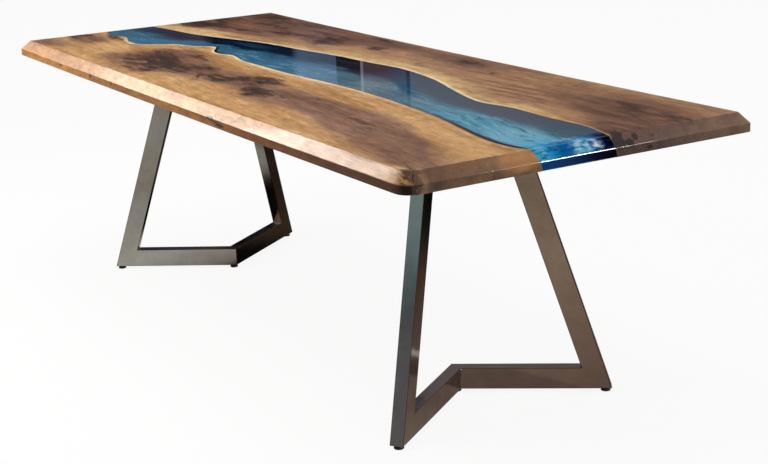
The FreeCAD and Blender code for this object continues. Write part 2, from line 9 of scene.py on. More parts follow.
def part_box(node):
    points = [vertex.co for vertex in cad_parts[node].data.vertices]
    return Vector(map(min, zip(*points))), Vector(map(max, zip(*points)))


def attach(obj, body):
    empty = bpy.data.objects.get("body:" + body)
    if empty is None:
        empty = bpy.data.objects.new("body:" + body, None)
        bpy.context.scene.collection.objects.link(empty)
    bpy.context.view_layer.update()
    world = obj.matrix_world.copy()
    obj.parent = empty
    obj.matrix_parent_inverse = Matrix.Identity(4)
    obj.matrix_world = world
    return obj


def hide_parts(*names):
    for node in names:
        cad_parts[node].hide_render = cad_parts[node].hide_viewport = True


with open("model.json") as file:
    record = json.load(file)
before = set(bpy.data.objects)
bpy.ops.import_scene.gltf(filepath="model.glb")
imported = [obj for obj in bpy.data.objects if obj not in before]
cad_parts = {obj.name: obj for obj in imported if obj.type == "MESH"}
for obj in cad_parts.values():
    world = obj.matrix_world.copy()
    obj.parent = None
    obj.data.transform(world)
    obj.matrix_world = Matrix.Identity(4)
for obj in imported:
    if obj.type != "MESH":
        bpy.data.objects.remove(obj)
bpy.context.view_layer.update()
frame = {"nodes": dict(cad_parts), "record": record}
nodes = frame["nodes"]
print("table loaded:", len(nodes), "nodes")

scene = bpy.context.scene
scene.view_settings.view_transform = "Standard"


# small helpers, used by every stage

def linear(hexColour):
    # sRGB hex to the linear value that a shader socket takes
    parts = [int(hexColour[i:i + 2], 16) / 255 for i in (1, 3, 5)]
    return [p / 12.92 if p <= 0.04045 else ((p + 0.055) / 1.055) ** 2.4 for p in parts] + [1.0]


def addNode(tree, kind, inputs=(), output=0, stops=None, curve=None, **settings):
    # one node with its settings and links, its inputs in their order or by number or name; gives back the
    # socket that carries on, or all of them where output is None
    node = tree.nodes.new("ShaderNode" + kind)
    for name, value in settings.items():
        setattr(node, name, value)
    for key, value in inputs.items() if isinstance(inputs, dict) else enumerate(inputs):
        if isinstance(value, bpy.types.NodeSocket):
            tree.links.new(value, node.inputs[key])
        else:
            node.inputs[key].default_value = value
    if stops:
        stops = list(stops)
        ramp = node.color_ramp.elements
        while len(ramp) < len(stops):
            ramp.new(1.0)
        for step, (at, colour) in zip(ramp, stops):
            step.position = at
            step.color = linear(colour)
    if curve:
        points = node.mapping.curves[0].points
        while len(points) < len(curve):
            points.new(0.5, 0.5)
        for point, (along, height) in zip(points, curve):
            point.location = (along, height)
            point.handle_type = "VECTOR"
        node.mapping.update()
    if output is None or not node.outputs:
        return node.outputs
    return node.outputs[output]


smooth = {"interpolation_type": "SMOOTHSTEP"}
rgba = {"output": 2, "data_type": "RGBA"}


def newMaterial(name):
    # a material and the function that adds nodes to it
    material = bpy.data.materials.new(name)
    material.use_nodes = True
    material.node_tree.nodes.clear()
    return material, partial(addNode, material.node_tree)


def readPlace(add):
    # the place on the piece, its x, y and z, and the x, y and z of the way the surface faces
    place, facing = (add("TexCoord", output=kind) for kind in ("Object", "Normal"))
    return place, add("SeparateXYZ", (place,), output=None), add("SeparateXYZ", (facing,), output=None)


def scaledNoise(add, place, scale, detail, roughness):
    place = add("Mapping", {"Vector": place, "Scale": scale})
    return add("TexNoise", {"Vector": place, "Scale": 1.0, "Detail": detail, "Roughness": roughness})


def warpPlace(add, place, grain, reach):
    # moves the place by a noise that is long along the grain
    waves = add("Mapping", {"Vector": place, "Scale": grain})
    waves = add("TexNoise", {"Vector": waves, "Scale": 1.0, "Detail": 4.0, "Roughness": 0.55}, output="Color")
    waves = add("VectorMath", (waves, (0.5, 0.5, 0.5)), operation="SUBTRACT")
    return add("VectorMath", (waves, reach, place), operation="MULTIPLY_ADD")


def weighted(add, *parts, start=0.0):
    # values times their weights, added up
    for value, weight in parts:
        start = add("Math", (value, weight, start), operation="MULTIPLY_ADD")
    return start


def addMarks(add, place, marks):
    # soft ovals at their real places, added up
    total = 0.0
    for x, y, length, width, turn, strength, *upright in marks:
        middle, high = upright or (topLevel * 1000, 160)
        spot = add("Mapping", {
            "Vector": place, "Location": (x / 1000, y / 1000, middle / 1000),
            "Rotation": (0, 0, math.radians(turn)), "Scale": (length / 1000, width / 1000, high / 1000),
        }, vector_type="TEXTURE")
        spot = add("TexGradient", {"Vector": spot}, output="Fac", gradient_type="SPHERICAL")
        total = weighted(add, (spot, strength), start=total)
    return total


def layOver(add, under, over, value, low, high, most=1.0):
    # one colour over another, softly more of it as the value goes from low to high
    value = add("MapRange", (value, low, high, 0.0, most), **smooth)
    return add("Mix", {0: value, 6: under, 7: linear(over) if isinstance(over, str) else over}, **rgba)


def shadeBy(add, colour, value, low, high, least, most):
    # a colour made darker or lighter as the value goes from low to high
    value = add("MapRange", (value, low, high, least, most))
    return add("Mix", {0: 1.0, 6: colour, 7: value}, blend_type="MULTIPLY", **rgba)


def leaveEdit():
    bpy.ops.object.mode_set(mode="OBJECT")


def keepPlace():
    bpy.ops.object.transform_apply(location=True, rotation=True, scale=True)


def selectOnly(obj):
    if bpy.context.mode != "OBJECT":
        leaveEdit()
    bpy.ops.object.select_all(action="DESELECT")
    obj.select_set(True)
    bpy.context.view_layer.objects.active = obj


def applyModifier(obj, kind, **settings):
    selectOnly(obj)
    modifier = obj.modifiers.new(kind.lower(), kind)
    for name, value in settings.items():
        setattr(modifier, name, value)
    bpy.ops.object.modifier_apply(modifier=modifier.name)


def editAll():
    bpy.ops.object.mode_set(mode="EDIT")
    bpy.ops.mesh.select_all(action="SELECT")


def pick(obj, kind, wanted):
    # selects the faces or edges that are wanted, and stays in edit mode
    selectOnly(obj)
    bpy.ops.object.mode_set(mode="EDIT")
    bpy.ops.mesh.select_mode(type=kind)
    bpy.ops.mesh.select_all(action="DESELECT")
    leaveEdit()
    for item in obj.data.polygons if kind == "FACE" else obj.data.edges:
        item.select = bool(wanted(item))
    bpy.ops.object.mode_set(mode="EDIT")


def finishShading(piece, degrees):
    leaveEdit()
    selectOnly(piece)
    bpy.ops.object.shade_smooth_by_angle(angle=math.radians(degrees))
    return piece


sameSpot = 0.00002      # corners closer than this become one, metres
flatTurn = 0.4          # faces that lean less than this against each other become one, degrees


def copyNode(nodeName, pieceName):
    # a piece of its own with a node's mesh, its loose triangles merged into flat faces
    piece = bpy.data.objects.new(pieceName, nodes[nodeName].data.copy())
    scene.collection.objects.link(piece)
    selectOnly(piece)
    bpy.ops.mesh.customdata_custom_splitnormals_clear()
    editAll()
    bpy.ops.mesh.remove_doubles(threshold=sameSpot)
    leaveEdit()
    editAll()
    bpy.ops.mesh.dissolve_limited(angle_limit=math.radians(flatTurn))
    leaveEdit()
    return piece


def putOn(piece, material, body):
    piece.data.materials.clear()
    piece.data.materials.append(material)
    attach(piece, body)


# camera

camera = {
    "place": (3.82661, -1.99359, 1.50105),
    "yaw": 60.21,      # degrees from looking along +Y towards -X
    "pitch": 15.72,    # degrees downwards
    "roll": -2.48,
    "lens": 70.74,     # mm on a 36 mm wide sensor
    "shiftY": -0.00717,
}


def addCamera():
    yaw, pitch, roll = (math.radians(camera[key]) for key in ("yaw", "pitch", "roll"))
    back = Vector((math.sin(yaw) * math.cos(pitch), -math.cos(yaw) * math.cos(pitch), math.sin(pitch)))
    side = (-back).cross(Vector((0, 0, 1))).normalized()
    rise = side.cross(-back)
    right = math.cos(roll) * side + math.sin(roll) * rise
    top = -math.sin(roll) * side + math.cos(roll) * rise
    data = bpy.data.cameras.new("camera")
    data.lens = camera["lens"]
    data.shift_y = camera["shiftY"]
    data.clip_end = 200
    eye = bpy.data.objects.new("camera", data)
    eye.matrix_world = Matrix((right, top, back)).transposed().to_4x4()
    eye.matrix_world.translation = camera["place"]
    scene.collection.objects.link(eye)
    scene.camera = eye


addCamera()
print("camera placed")


# light and stage

studio = {
    "airDiffuse": 0.6,          # the room's own light
    "floorColour": "#f2f1ef",
    "floorGlow": 0.9,           # how much of the seen floor is its plain white
    # name: place, looks at, width, height, watts, lights matt surfaces (or else polished ones)
    "lamps": {
        "topSoftbox": ((-0.4, -0.6, 3.6), (0, 0, 0.75), 3.4, 2.2, 55, True),
        "nearSoftbox": ((-0.8, -4.2, 2.9), (0, 0, 0.6), 3.0, 1.8, 80, True),
        "bevelShine": ((-3.40, -1.40, 2.3), (0.3, -0.48, 0.75), 1.2, 0.9, 32, False),
        "bevelShineRight": ((-3.76, -2.35, 2.74), (1.0, -0.47, 0.75), 0.8, 0.7, 58, False),
        "creaseShine": ((4.3, 2.45, 2.05), (1.25, 0, 0.74), 0.8, 2.2, 260, False),
    },
    # cards that only polished surfaces see: middle, tilt and turn in degrees, width, height, and the
    # colours from their lower to their upper edge; the wall also has upright bands from left to right
    "cards": {
        "darkWall": ((-5.0, 3.2, 2.3), 90, 60, 12.0, 4.6,
                     [(0.0, "#7d7672"), (0.2, "#6d6764"), (0.29, "#0b0b0c"), (0.50, "#0b0b0c"),
                      (0.55, "#7a706d"), (1.0, "#7a706d")]),
        "slateWall": ((1.5, -4.6, 1.5), 90, 0, 3.6, 3.0,
                      [(0.0, "#7c7b7f"), (0.42, "#6e6d72"), (0.52, "#4c5a60"), (0.58, "#7b9298"),
                       (0.64, "#8fa9ac")]),
        # the floor cards stand for the floor in reflections, darker towards their far edge, partly as painted
        # shadow of the table
        "floorLeft": ((-4.2, 0, 0.0004), 0, 0, 8.0, 10.0,
                      [(0.2, "#b0b0a9"), (0.42, "#b8b7b0"), (0.465, "#cccdc6"), (0.478, "#b5b5b1"),
                       (0.489, "#a29f94"), (0.493, "#8c877c"), (0.497, "#0d0b0a"), (0.522, "#12100e"),
                       (0.54, "#43362c"), (0.56, "#43362c"), (0.6, "#352820"), (1.0, "#1c1613")]),
        "floorMiddle": ((0.365, 0, 0.0004), 0, 0, 1.13, 10.0,
                        [(0.3, "#b5b5ae"), (0.45, "#9a8e80"), (0.48, "#84776a"), (0.495, "#75645a"),
                         (0.51, "#786359"), (0.56, "#5f4f4a"), (0.597, "#5a4232"), (0.642, "#262222"),
                         (0.69, "#0a0a0a"), (1.0, "#0a0a0a")]),
        "floorRight": ((3.93, 0, 0.0004), 0, 0, 6.0, 10.0,
                       [(0.3, "#a99f95"), (0.39, "#93806c"), (0.45, "#ab9583"), (0.52, "#856f63"),
                        (0.6, "#3a2d24"), (1.0, "#1a1513")]),
        "darkCeiling": ((5.7, 6.3, 8.0), 0, 0, 5.0, 7.0, [(0.0, "#171414"), (1.0, "#171414")]),
    },
    "wallBands": [(0.361, "#39303a"), (0.378, "#463c43"), (0.392, "#51454c"), (0.396, "#0b0b0c"),
                  (0.4415, "#0b0b0c"), (0.4422, "#60718a"), (0.4665, "#5b6a86"), (0.5089, "#666976"),
                  (0.56, "#50525c"), (0.60, "#2a2a2e")],
    # sharp bands over those, each from its place to the next one's, and where the last one ends
    "wallSteps": [(0.4666, "#121014"), (0.4803, "#96929a"), (0.4818, "#56464e"), (0.4979, "#494c61"),
                  (0.5063, "#050506")],
    "lastStep": 0.5083,
    "stepBlur": 0.0002,
    "sideFade": (0.36, 0.5),    # where an upright card fades to white, from its middle
}


def seenByEye(add):
    # 1 for what the camera sees, also in a reflection or through something clear
    rays = add("LightPath", output=None)
    seen = add("Math", (rays["Is Camera Ray"], rays["Is Glossy Ray"]), operation="ADD")
    return add("Math", (seen, rays["Is Transmission Ray"]), operation="ADD", use_clamp=True)


def addAir():
    world = bpy.data.worlds.new("studioAir")
    scene.world = world
    world.use_nodes = True
    world.node_tree.nodes.clear()
    add = partial(addNode, world.node_tree)
    strength = add("MapRange", (seenByEye(add), 0.0, 1.0, studio["airDiffuse"], 1.0))
    air = add("Background", {"Color": (1, 1, 1, 1), "Strength": strength})
    add("OutputWorld", {"Surface": air})


def addFloor():
    bpy.ops.mesh.primitive_plane_add(size=80, location=(0, 0, 0))
    floor = bpy.context.object
    floor.name = "studioFloor"
    material, add = newMaterial("studioFloorPaint")
    share = weighted(add, (seenByEye(add), studio["floorGlow"]))
    paint = add("BsdfDiffuse", {"Color": linear(studio["floorColour"])})
    white = add("Emission", {"Color": (1, 1, 1, 1), "Strength": 1.0})
    add("OutputMaterial", {"Surface": add("MixShader", (share, paint, white))})
    floor.data.materials.append(material)


def addLamps():
    for name, (place, aim, width, height, watts, matt) in studio["lamps"].items():
        data = bpy.data.lights.new(name, "AREA")
        data.shape = "RECTANGLE"
        data.size, data.size_y, data.energy = width, height, watts
        lamp = bpy.data.objects.new(name, data)
        lamp.location = place
        lamp.rotation_euler = (Vector(aim) - Vector(place)).to_track_quat("-Z", "Y").to_euler()
        lamp.visible_camera = False
        lamp.visible_diffuse = matt
        lamp.visible_glossy = not matt
        scene.collection.objects.link(lamp)


def cardMaterial(name, upright, colours):
    material, add = newMaterial(name + "Card")
    across, rise, _ = add("SeparateXYZ", (add("TexCoord", output="UV"),), output=None)
    grey = add("ValToRGB", (rise,), stops=colours)
    if name == "darkWall":
        band = add("ValToRGB", (across,), stops=studio["wallBands"])
        grey = add("Mix", {0: 1.0, 6: grey, 7: band}, blend_type="LIGHTEN", **rgba)
        plain, blur = grey, studio["stepBlur"]
        for start, colour in studio["wallSteps"] + [(studio["lastStep"], None)]:
            step = add("MapRange", (across, start - blur, start + blur))
            grey = add("Mix", {0: step, 6: grey, 7: linear(colour) if colour else plain}, **rgba)
    if upright:
        aside = add("Math", (across, 0.5), operation="SUBTRACT")
        aside = add("Math", (aside,), operation="ABSOLUTE")
        grey = layOver(add, grey, "#ffffff", aside, *studio["sideFade"])
    add("OutputMaterial", {"Surface": add("Emission", {"Color": grey, "Strength": 1.0})})
    return material


def addCards():
    for name, (place, tilt, turn, width, height, colours) in studio["cards"].items():
        bpy.ops.object.select_all(action="DESELECT")
        bpy.ops.mesh.primitive_plane_add(size=1, location=place,
                                         rotation=(math.radians(tilt), 0, math.radians(turn)))
        card = bpy.context.object
        card.name = name
        card.scale = (width, height, 1)
        card.data.materials.append(cardMaterial(name, tilt, colours))
        card.visible_camera = card.visible_diffuse = card.visible_shadow = card.visible_transmission = False


addAir()
addFloor()
addLamps()
addCards()
print("stage and lamps placed")


# the river's banks, read from the top face of the resin

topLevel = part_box("resin_river")[1].z
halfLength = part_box("resin_river")[1].x
bankMid = -0.022      # no point of either bank is across this line
bankScale = 0.6       # the curves carry -0.3 to 0.3 m as 0 to 1
creaseDrop = 0.0265   # the shaped outer edges stand out furthest this far down, metres


def readLine(nodeName, count, wanted):
    # y of a node's wanted points at even places along the table, which run from 0 to 1
    points = np.array([v.co for v in nodes[nodeName].data.vertices])
    points = points[wanted(points[:, 1], points[:, 2])]
    points = points[np.argsort(points[:, 0])]
    along = np.linspace(-halfLength, halfLength, count)
    return zip((along + halfLength) / (2 * halfLength), np.interp(along, points[:, 0], points[:, 1]))


banks, rims = {}, {}
for side, outward in (("near", -1), ("far", 1)):
    bank = readLine("resin_river", 101, lambda y, z: (z > topLevel - 0.0002) & (y * outward > bankMid * outward))
    banks[side] = [(along, across / bankScale + 0.5) for along, across in bank]
    rim = readLine("walnut_slab_" + side, 26,
                   lambda y, z: (abs(z - topLevel + creaseDrop) < 0.001) & (y * outward > 0.4))
    rims[side] = [(along, abs(across)) for along, across in rim]
print("banks read:", len(banks["near"]), "points each, rims at", rims["near"][0], rims["near"][-2])


# the two slabs

slabShape = {
    "stations": 0.04,       # metres between the cuts across the slab
    "edgeRound": 0.0034,    # radius that sanding leaves on the creases of the wood
    "castRound": 0.0042,    # and polishing on those of the cast resin
    "wander": 0.0011,       # how far the hand-shaped edge falls back
    "wanderLength": 0.13,
    "wanderFrom": 0.43,     # and only the wood this far from the middle does, fully 20 mm further out
    "wanderFade": 0.02,
    "wanderDeep": 0.0475,   # and down to this far below the top
    "endKept": 0.06,        # near the ends it doesn't, and fully only 100 mm further in
    "endFade": 0.1,
    "creaseAngle": 24,      # degrees between two faces that make an edge a crease
    "bankLean": 0.02,       # a face that leans further than this to the river's side is a bank
}


def edgeWander(x, z, phase):
    # slow dips in the hand-shaped outer edge, 0 to 1
    waves = (math.sin(x * 2 * math.pi / slabShape["wanderLength"] + phase)
             + math.sin(x * 2 * math.pi / (slabShape["wanderLength"] * 2.7) + phase * 3.1 + z * 90)
             + 0.6 * math.sin(x * 2 * math.pi / (slabShape["wanderLength"] * 0.37) + phase * 1.7 + z * 240))
    return 0.5 + waves / 5.2


def finishTop(nodeName, pieceName, outward):
    # outward is -1 for the slab whose outer edge is at -Y, 1 at +Y and 0 for the river
    piece = copyNode(nodeName, pieceName)
    mesh = piece.data
    if outward:
        count = int(2 * halfLength / slabShape["stations"])
        for i in range(1, count):
            editAll()
            bpy.ops.mesh.bisect(plane_co=(-halfLength + i * slabShape["stations"], 0, 0), plane_no=(1, 0, 0))
        leaveEdit()
        for v in mesh.vertices:
            off = abs(v.co.y) - slabShape["wanderFrom"]
            endRoom = min(1.0, max(0.0, (halfLength - slabShape["endKept"] - abs(v.co.x)) / slabShape["endFade"]))
            if off > 0 and v.co.z > topLevel - slabShape["wanderDeep"]:
                drop = edgeWander(v.co.x, v.co.z, 1.3 * outward) * min(1, off / slabShape["wanderFade"]) * endRoom
                v.co.y -= outward * slabShape["wander"] * drop
    faces = {}
    for polygon in mesh.polygons:
        for key in polygon.edge_keys:
            faces.setdefault(key, []).append(polygon.normal.copy())
    mesh.update()

    creaseAngle, bankLean = math.radians(slabShape["creaseAngle"]), slabShape["bankLean"]

    def isCrease(edge):
        # an edge that is worked round: not along a bank, where wood and resin meet
        sides = faces.get(tuple(sorted(edge.vertices)), [])
        if len(sides) != 2 or sides[0].angle(sides[1]) < creaseAngle:
            return False
        if outward:
            return not any(side.y * outward < -bankLean for side in sides)
        return all(abs(side.y) < bankLean for side in sides)
    pick(piece, "EDGE", isCrease)
    bpy.ops.mesh.bevel(offset=slabShape["edgeRound" if outward else "castRound"], offset_type="OFFSET",
                       segments=3, profile=0.5, clamp_overlap=True)
    finishShading(piece, 40)
    applyModifier(piece, "WEIGHTED_NORMAL", keep_sharp=True, weight=80)
    print(pieceName, len(mesh.polygons), "faces")
    return piece


# wood: American walnut with its pale sapwood along the live edges, sanded and finished with a satin oil

slabLook = {
    "near": {
        "outward": -1,
        "grainTurn": -4,      # degrees, how the grain runs against the table's length
        # three tans of the plain wood, dark to light
        "base": ("#a3733f", "#bf905c", "#d2a570"),
        "sapwood": ("#c0925c", "#dbb07a"),
        "heart": ("#6b4833", "#926d54"),
        "smokeColours": ("#6d4a36", "#472c1e", "#21120b"),
        "ringAxis": (-0.27, 0.60),     # y and z of the tree's heart, metres
        "ringSpacing": 0.011,
        "sapWidth": (0.11, -0.03),
        "sapEnd": (2.0, 3.0),          # x where it starts to thin out, and has
        # marks: x, y, half length, half width (mm), turn in degrees, strength and, where they aren't on the
        # top face, height above the floor and half height (mm)
        "brown": [
            (-500, -290, 360, 190, -4, 1.0), (-120, -255, 330, 130, 0, 0.8), (300, -265, 330, 120, -3, 1.0),
            (700, -270, 380, 105, -7, 1.6), (1100, -345, 330, 90, -14, 0.75), (-1160, -420, 260, 90, 4, 0.7),
            (-1170, -270, 170, 80, 0, 0.6), (-600, -160, 140, 70, 20, 0.5), (1180, -420, 160, 70, -10, 0.6),
            (-1080, -300, 200, 60, 0, 0.9), (930, -390, 300, 80, -8, 0.55), (-740, -360, 160, 60, 0, 0.6),
        ],
        "smoke": [
            (-560, -255, 190, 80, -4, 0.95), (-440, -330, 190, 100, -6, 0.95), (-400, -400, 110, 50, -8, 0.5),
            (-300, -240, 120, 50, 12, 0.8), (-495, -160, 70, 40, 20, 0.75), (45, -205, 140, 65, 6, 1.1),
            (185, -292, 100, 50, -4, 1.2), (-60, -270, 170, 60, 0, 0.6), (400, -212, 60, 26, 0, 0.5),
            (-1215, -290, 90, 60, 10, 0.9), (-1080, -215, 120, 30, -8, 0.9), (-650, -330, 160, 60, 0, 0.5),
            (-700, -110, 60, 28, 30, 0.5), (850, -300, 260, 36, -8, 0.25), (620, -190, 220, 26, -4, 0.25),
            (-350, -310, 160, 70, 0, 0.7), (-120, -300, 140, 60, 0, 0.6), (100, -255, 120, 50, 0, 0.3),
            (700, -262, 300, 50, -6, 0.35), (-1150, -190, 70, 22, 0, 0.9), (300, -260, 200, 50, -3, 0.4),
            (-640, -215, 110, 40, 0, 0.5),
            (1250, -440, 90, 70, 0, 0.8, 750, 60), (-420, -180, 120, 36, 10, 0.45),
        ],
        "glow": [
            (-880, -290, 190, 80, -12, 1.3), (-830, -390, 190, 60, 0, 0.7), (-120, -425, 220, 50, 0, 0.7),
            (350, -430, 420, 45, 0, 0.6), (-720, -165, 150, 30, 32, 0.8), (700, -130, 420, 34, -4, 0.6),
            (1080, -215, 230, 46, -10, 0.7), (1238, -168, 50, 30, 0, 1.1, 750, 40), (-280, -130, 260, 26, 0, 0.5),
        ],
        "knots": [
            (205, -318, 22, 12, 20, 1.4), (-545, -255, 34, 9, 4, 1.3), (-300, -262, 40, 9, 10, 1.3),
            (60, -215, 40, 10, 0, 1.2), (-490, -152, 26, 12, 20, 1.5), (-1225, -300, 20, 20, 0, 1.2),
            (402, -212, 14, 8, 0, 1.3), (-640, -118, 16, 8, 20, 1.3), (12, -198, 20, 8, 0, 1.3),
            (150, -282, 22, 10, 0, 1.3), (-256, -226, 18, 8, 0, 1.3), (-372, -330, 22, 10, 0, 1.1),
            (-604, -226, 20, 8, 0, 1.1), (-24, -262, 16, 8, 0, 1.2), (-452, -268, 24, 9, 0, 1.1),
            (304, -480, 30, 16, 0, 1.5, 739, 6), (366, -479, 30, 16, 0, 1.4, 727, 6),
            (335, -480, 60, 16, 0, 0.6, 733, 10), (-566, -488, 16, 12, 0, 1.2, 733, 9),
            (-391, -487, 12, 12, 0, 1.1, 734, 8), (-837, -489, 12, 12, 0, 1.1, 733, 8),
        ],
        "eyes": [(205, -310, 70, 40, 10, 1.0), (-540, -250, 110, 40, 4, 1.0), (-490, -150, 70, 34, 20, 1.0)],
        "cracks": [(1200, -423, 46, 1.3, -15, 2.4, 765, 12), (1238, -438, 14, 1.4, -20, 2.4, 752, 15),
                   (-575, -252, 60, 1.2, 5, 1.0), (-250, -268, 45, 1.2, -4, 0.8)],
        "curlTurn": 12,                   # degrees, how the ripples of the curl lie
        "bankShadow": (0.55, 1.02),         # x where the painted shadow line at the bank starts, and is full
        "barkLine": (0.05, 0.75),         # x up to where the pale line at the bank is full, and gone
        "bankShine": (1250, -190, 60, 130, 0, 2.4, 739, 12),     # where the pour's skin runs over the wood
        # painted light and shade on the shaped edge, as tones that multiply it from the left end to the right
        # one: bevel, then band under it
        "bevelLightAndShade": [(0.0, "#f8dcb8"), (0.16, "#ead0b0"), (0.30, "#f2e6da"), (0.40, "#fffcf6"),
                      (0.60, "#fff8ee"), (0.74, "#f0e4da"), (0.84, "#d2c6be"), (1.0, "#dcd0c8")],
        "bandLightAndShade": [(0.0, "#e8ca92"), (0.25, "#dcbc88"), (0.38, "#b09474"), (0.55, "#b89a7a"),
                     (0.70, "#94745c"), (0.85, "#705646"), (1.0, "#4e3c36")],
        "endTone": ("#694837", "#33272a"),      # sawn end grain, darker with oil: its bevel, and the band under it painted darker still, as shade
        "endSap": [(1250, -170, 60, 75, 0, 1.5, 752, 34)],       # and where it is still pale
    },
    "far": {
        "outward": 1,
        "grainTurn": 3,
        "base": ("#805a42", "#9f7653", "#b98f63"),
        "sapwood": ("#b58c5c", "#dcbb80"),
        "heart": ("#543526", "#815c46"),
        "smokeColours": ("#62402e", "#44291b", "#24130b"),
        "ringAxis": (0.33, 0.56),
        "ringSpacing": 0.013,
        "sapWidth": (0.19, -0.045),
        "sapEnd": (0.98, 1.12),
        "brown": [
            (-1050, 340, 380, 240, 0, 1.3), (-1180, 190, 240, 130, 0, 1.2), (-620, 340, 380, 150, -3, 1.1),
            (-380, 400, 500, 110, 0, 0.9), (150, 390, 260, 100, 0, 0.5), (700, 400, 520, 120, -6, 0.35),
            (-820, 300, 220, 110, 0, 0.8), (-480, 300, 160, 80, 0, 0.6),
            (1120, 260, 330, 150, -24, 0.9), (1220, 140, 150, 90, 0, 0.9), (330, 330, 420, 100, -4, 0.25),
            (880, 260, 300, 90, -20, 0.45), (-840, 180, 260, 60, 10, 1.0),
        ],
        "smoke": [
            (-1170, 125, 130, 66, 10, 1.3), (-1180, 230, 130, 110, 0, 1.0), (-1130, 410, 220, 80, 0, 0.7),
            (-1000, 330, 260, 100, -10, 0.4), (-470, 290, 100, 100, 12, 1.0), (-370, 415, 120, 45, 0, 0.7),
            (-215, 330, 80, 50, 20, 0.6), (190, 378, 100, 62, 0, 0.7), (160, 270, 50, 40, -5, 0.5),
            (-820, 400, 260, 60, 0, 0.35), (1235, 110, 60, 50, 0, 0.6), (1180, 200, 160, 50, -30, 0.35),
            (-700, 260, 200, 50, 8, 0.7), (-820, 310, 180, 60, 0, 0.4), (-1080, 160, 140, 40, 10, 0.8),
            (-900, 190, 200, 34, 8, 0.5), (-560, 350, 200, 60, 0, 0.5), (1140, 280, 200, 110, -30, 0.3),
            (980, 330, 220, 60, -30, 0.35), (1215, 330, 120, 60, -20, 0.4),
        ],
        "glow": [(-930, 95, 250, 44, 12, 0.8), (-560, 165, 240, 36, 14, 0.7), (-200, 215, 260, 32, 5, 0.6),
                 (520, 175, 300, 40, -16, 0.6), (700, 110, 120, 24, 0, 0.6)],
        "knots": [(400, 335, 14, 12, 0, 1.1), (1246, 92, 18, 26, 0, 1.8, 750, 14),
                  (1246, 125, 14, 18, 0, 1.6, 745, 12), (1228, 104, 12, 14, 0, 1.8), (1216, 132, 10, 9, 0, 1.5),
                  (1238, 146, 12, 12, 0, 1.6, 755, 14), (1250, 182, 14, 12, 0, 1.4, 727, 8),
                  (1246, 196, 12, 12, 0, 1.1, 752, 8), (1225, 100, 40, 22, -20, 1.0),
                  (-560, 430, 16, 10, 0, 0.7), (-480, 250, 24, 20, 0, 0.6)],
        "eyes": [(1246, 288, 60, 22, 0, 1.0, 750, 22), (400, 335, 60, 40, 0, 1.0), (-470, 260, 90, 60, 0, 1.0),
                 (190, 370, 120, 60, 0, 1.0)],
        "cracks": [(-1130, 100, 60, 1.6, 25, 1.0), (1205, 118, 40, 1.6, -30, 1.6, 765, 20),
                   (1246, 108, 12, 2.0, 0, 2.0, 748, 16)],
        "curlTurn": 32,
        "bankShadow": (2.0, 3.0),
        "barkLine": (0.7, 1.0),
        "bankShine": (1250, 90, 60, 130, 0, 2.4, 739, 12),
        # painted light and shade on the shaped edge, as for the near slab
        "bevelLightAndShade": [(0.0, "#ead9c8"), (0.5, "#fff4e6"), (1.0, "#d8c6b8")],
        "bandLightAndShade": [(0.0, "#cdb69c"), (0.5, "#dcc6a4"), (1.0, "#c0ab98")],
        "endTone": ("#70554a", "#4a3a36"),
        "endSap": [(-1250, 20, 60, 60, 0, 1.0, 752, 34)],
    },
}


woodLook = {
    # patterns: times for each metre along, across and through the grain, detail, roughness; the notes give
    # the size of a spot of them
    "fibre": ((9.0, 420.0, 420.0), 5.0, 0.65),    # 2.4 by 110 mm, coarser than real, to show
    "streak": ((1.6, 26.0, 26.0), 6.0, 0.62),     # 38 by 620 mm
    "cloud": ((2.6, 6.0, 6.0), 3.0, 0.5),         # 170 by 380 mm
    "pore": ((55.0, 900.0, 900.0), 2.0, 0.5),     # 1.1 by 18 mm, coarser than real, to show
    "flecks": ((13.0, 40.0, 40.0), 8.0, 0.68),    # 25 by 77 mm, they make the smoky figure ragged
    "facet": ((20.0, 34.0, 34.0), 4.0, 0.55),     # 29 by 50 mm, the slow facets that the tool left on the edges
    "curl": (22.0, 46.0, 46.0),                   # 22 by 45 mm, before it is turned
    "endPores": 420.0,                            # 2.4 mm, coarser than real, to show
    # how places are moved so that the figure flows: waves for each metre, then how far in metres
    "grainFlow": ((2.4, 6.0, 6.0), (0.10, 0.034, 0.034)),
    "beltFlow": ((3.0, 12.0, 12.0), (0.20, 0.055, 0.055)),
    "smokeFlow": ((14.0, 48.0, 48.0), (0.10, 0.034, 0.034)),
    "knotFlow": ((60.0, 120.0, 120.0), (0.012, 0.008, 0.010)),
    # x where the youngest ring starts to show and shows most, and where the bank's painted shadow line is gone
    # and full
    "ringShows": (-1.06, -0.94), "bankShadowEnd": (1.235, 1.20),
    # the colours below include that of a painted shade line along the shaped edge's crease, and that of the
    # cracks, which also colours a painted shadow line by the bank
    "youngRing": "#f2dfb6", "eyeRing": "#3a251a", "endSapwood": "#c08350", "creaseShade": "#5a3a22",
    "knot": "#1d110c", "crackAndBankShadow": "#1a100c",
}


def bankPlace(add, along, side):
    # y of a bank of the river, in metres
    bank = add("FloatCurve", {"Value": along}, curve=banks[side])
    bank = add("Math", (bank, 0.5), operation="SUBTRACT")
    return weighted(add, (bank, bankScale))


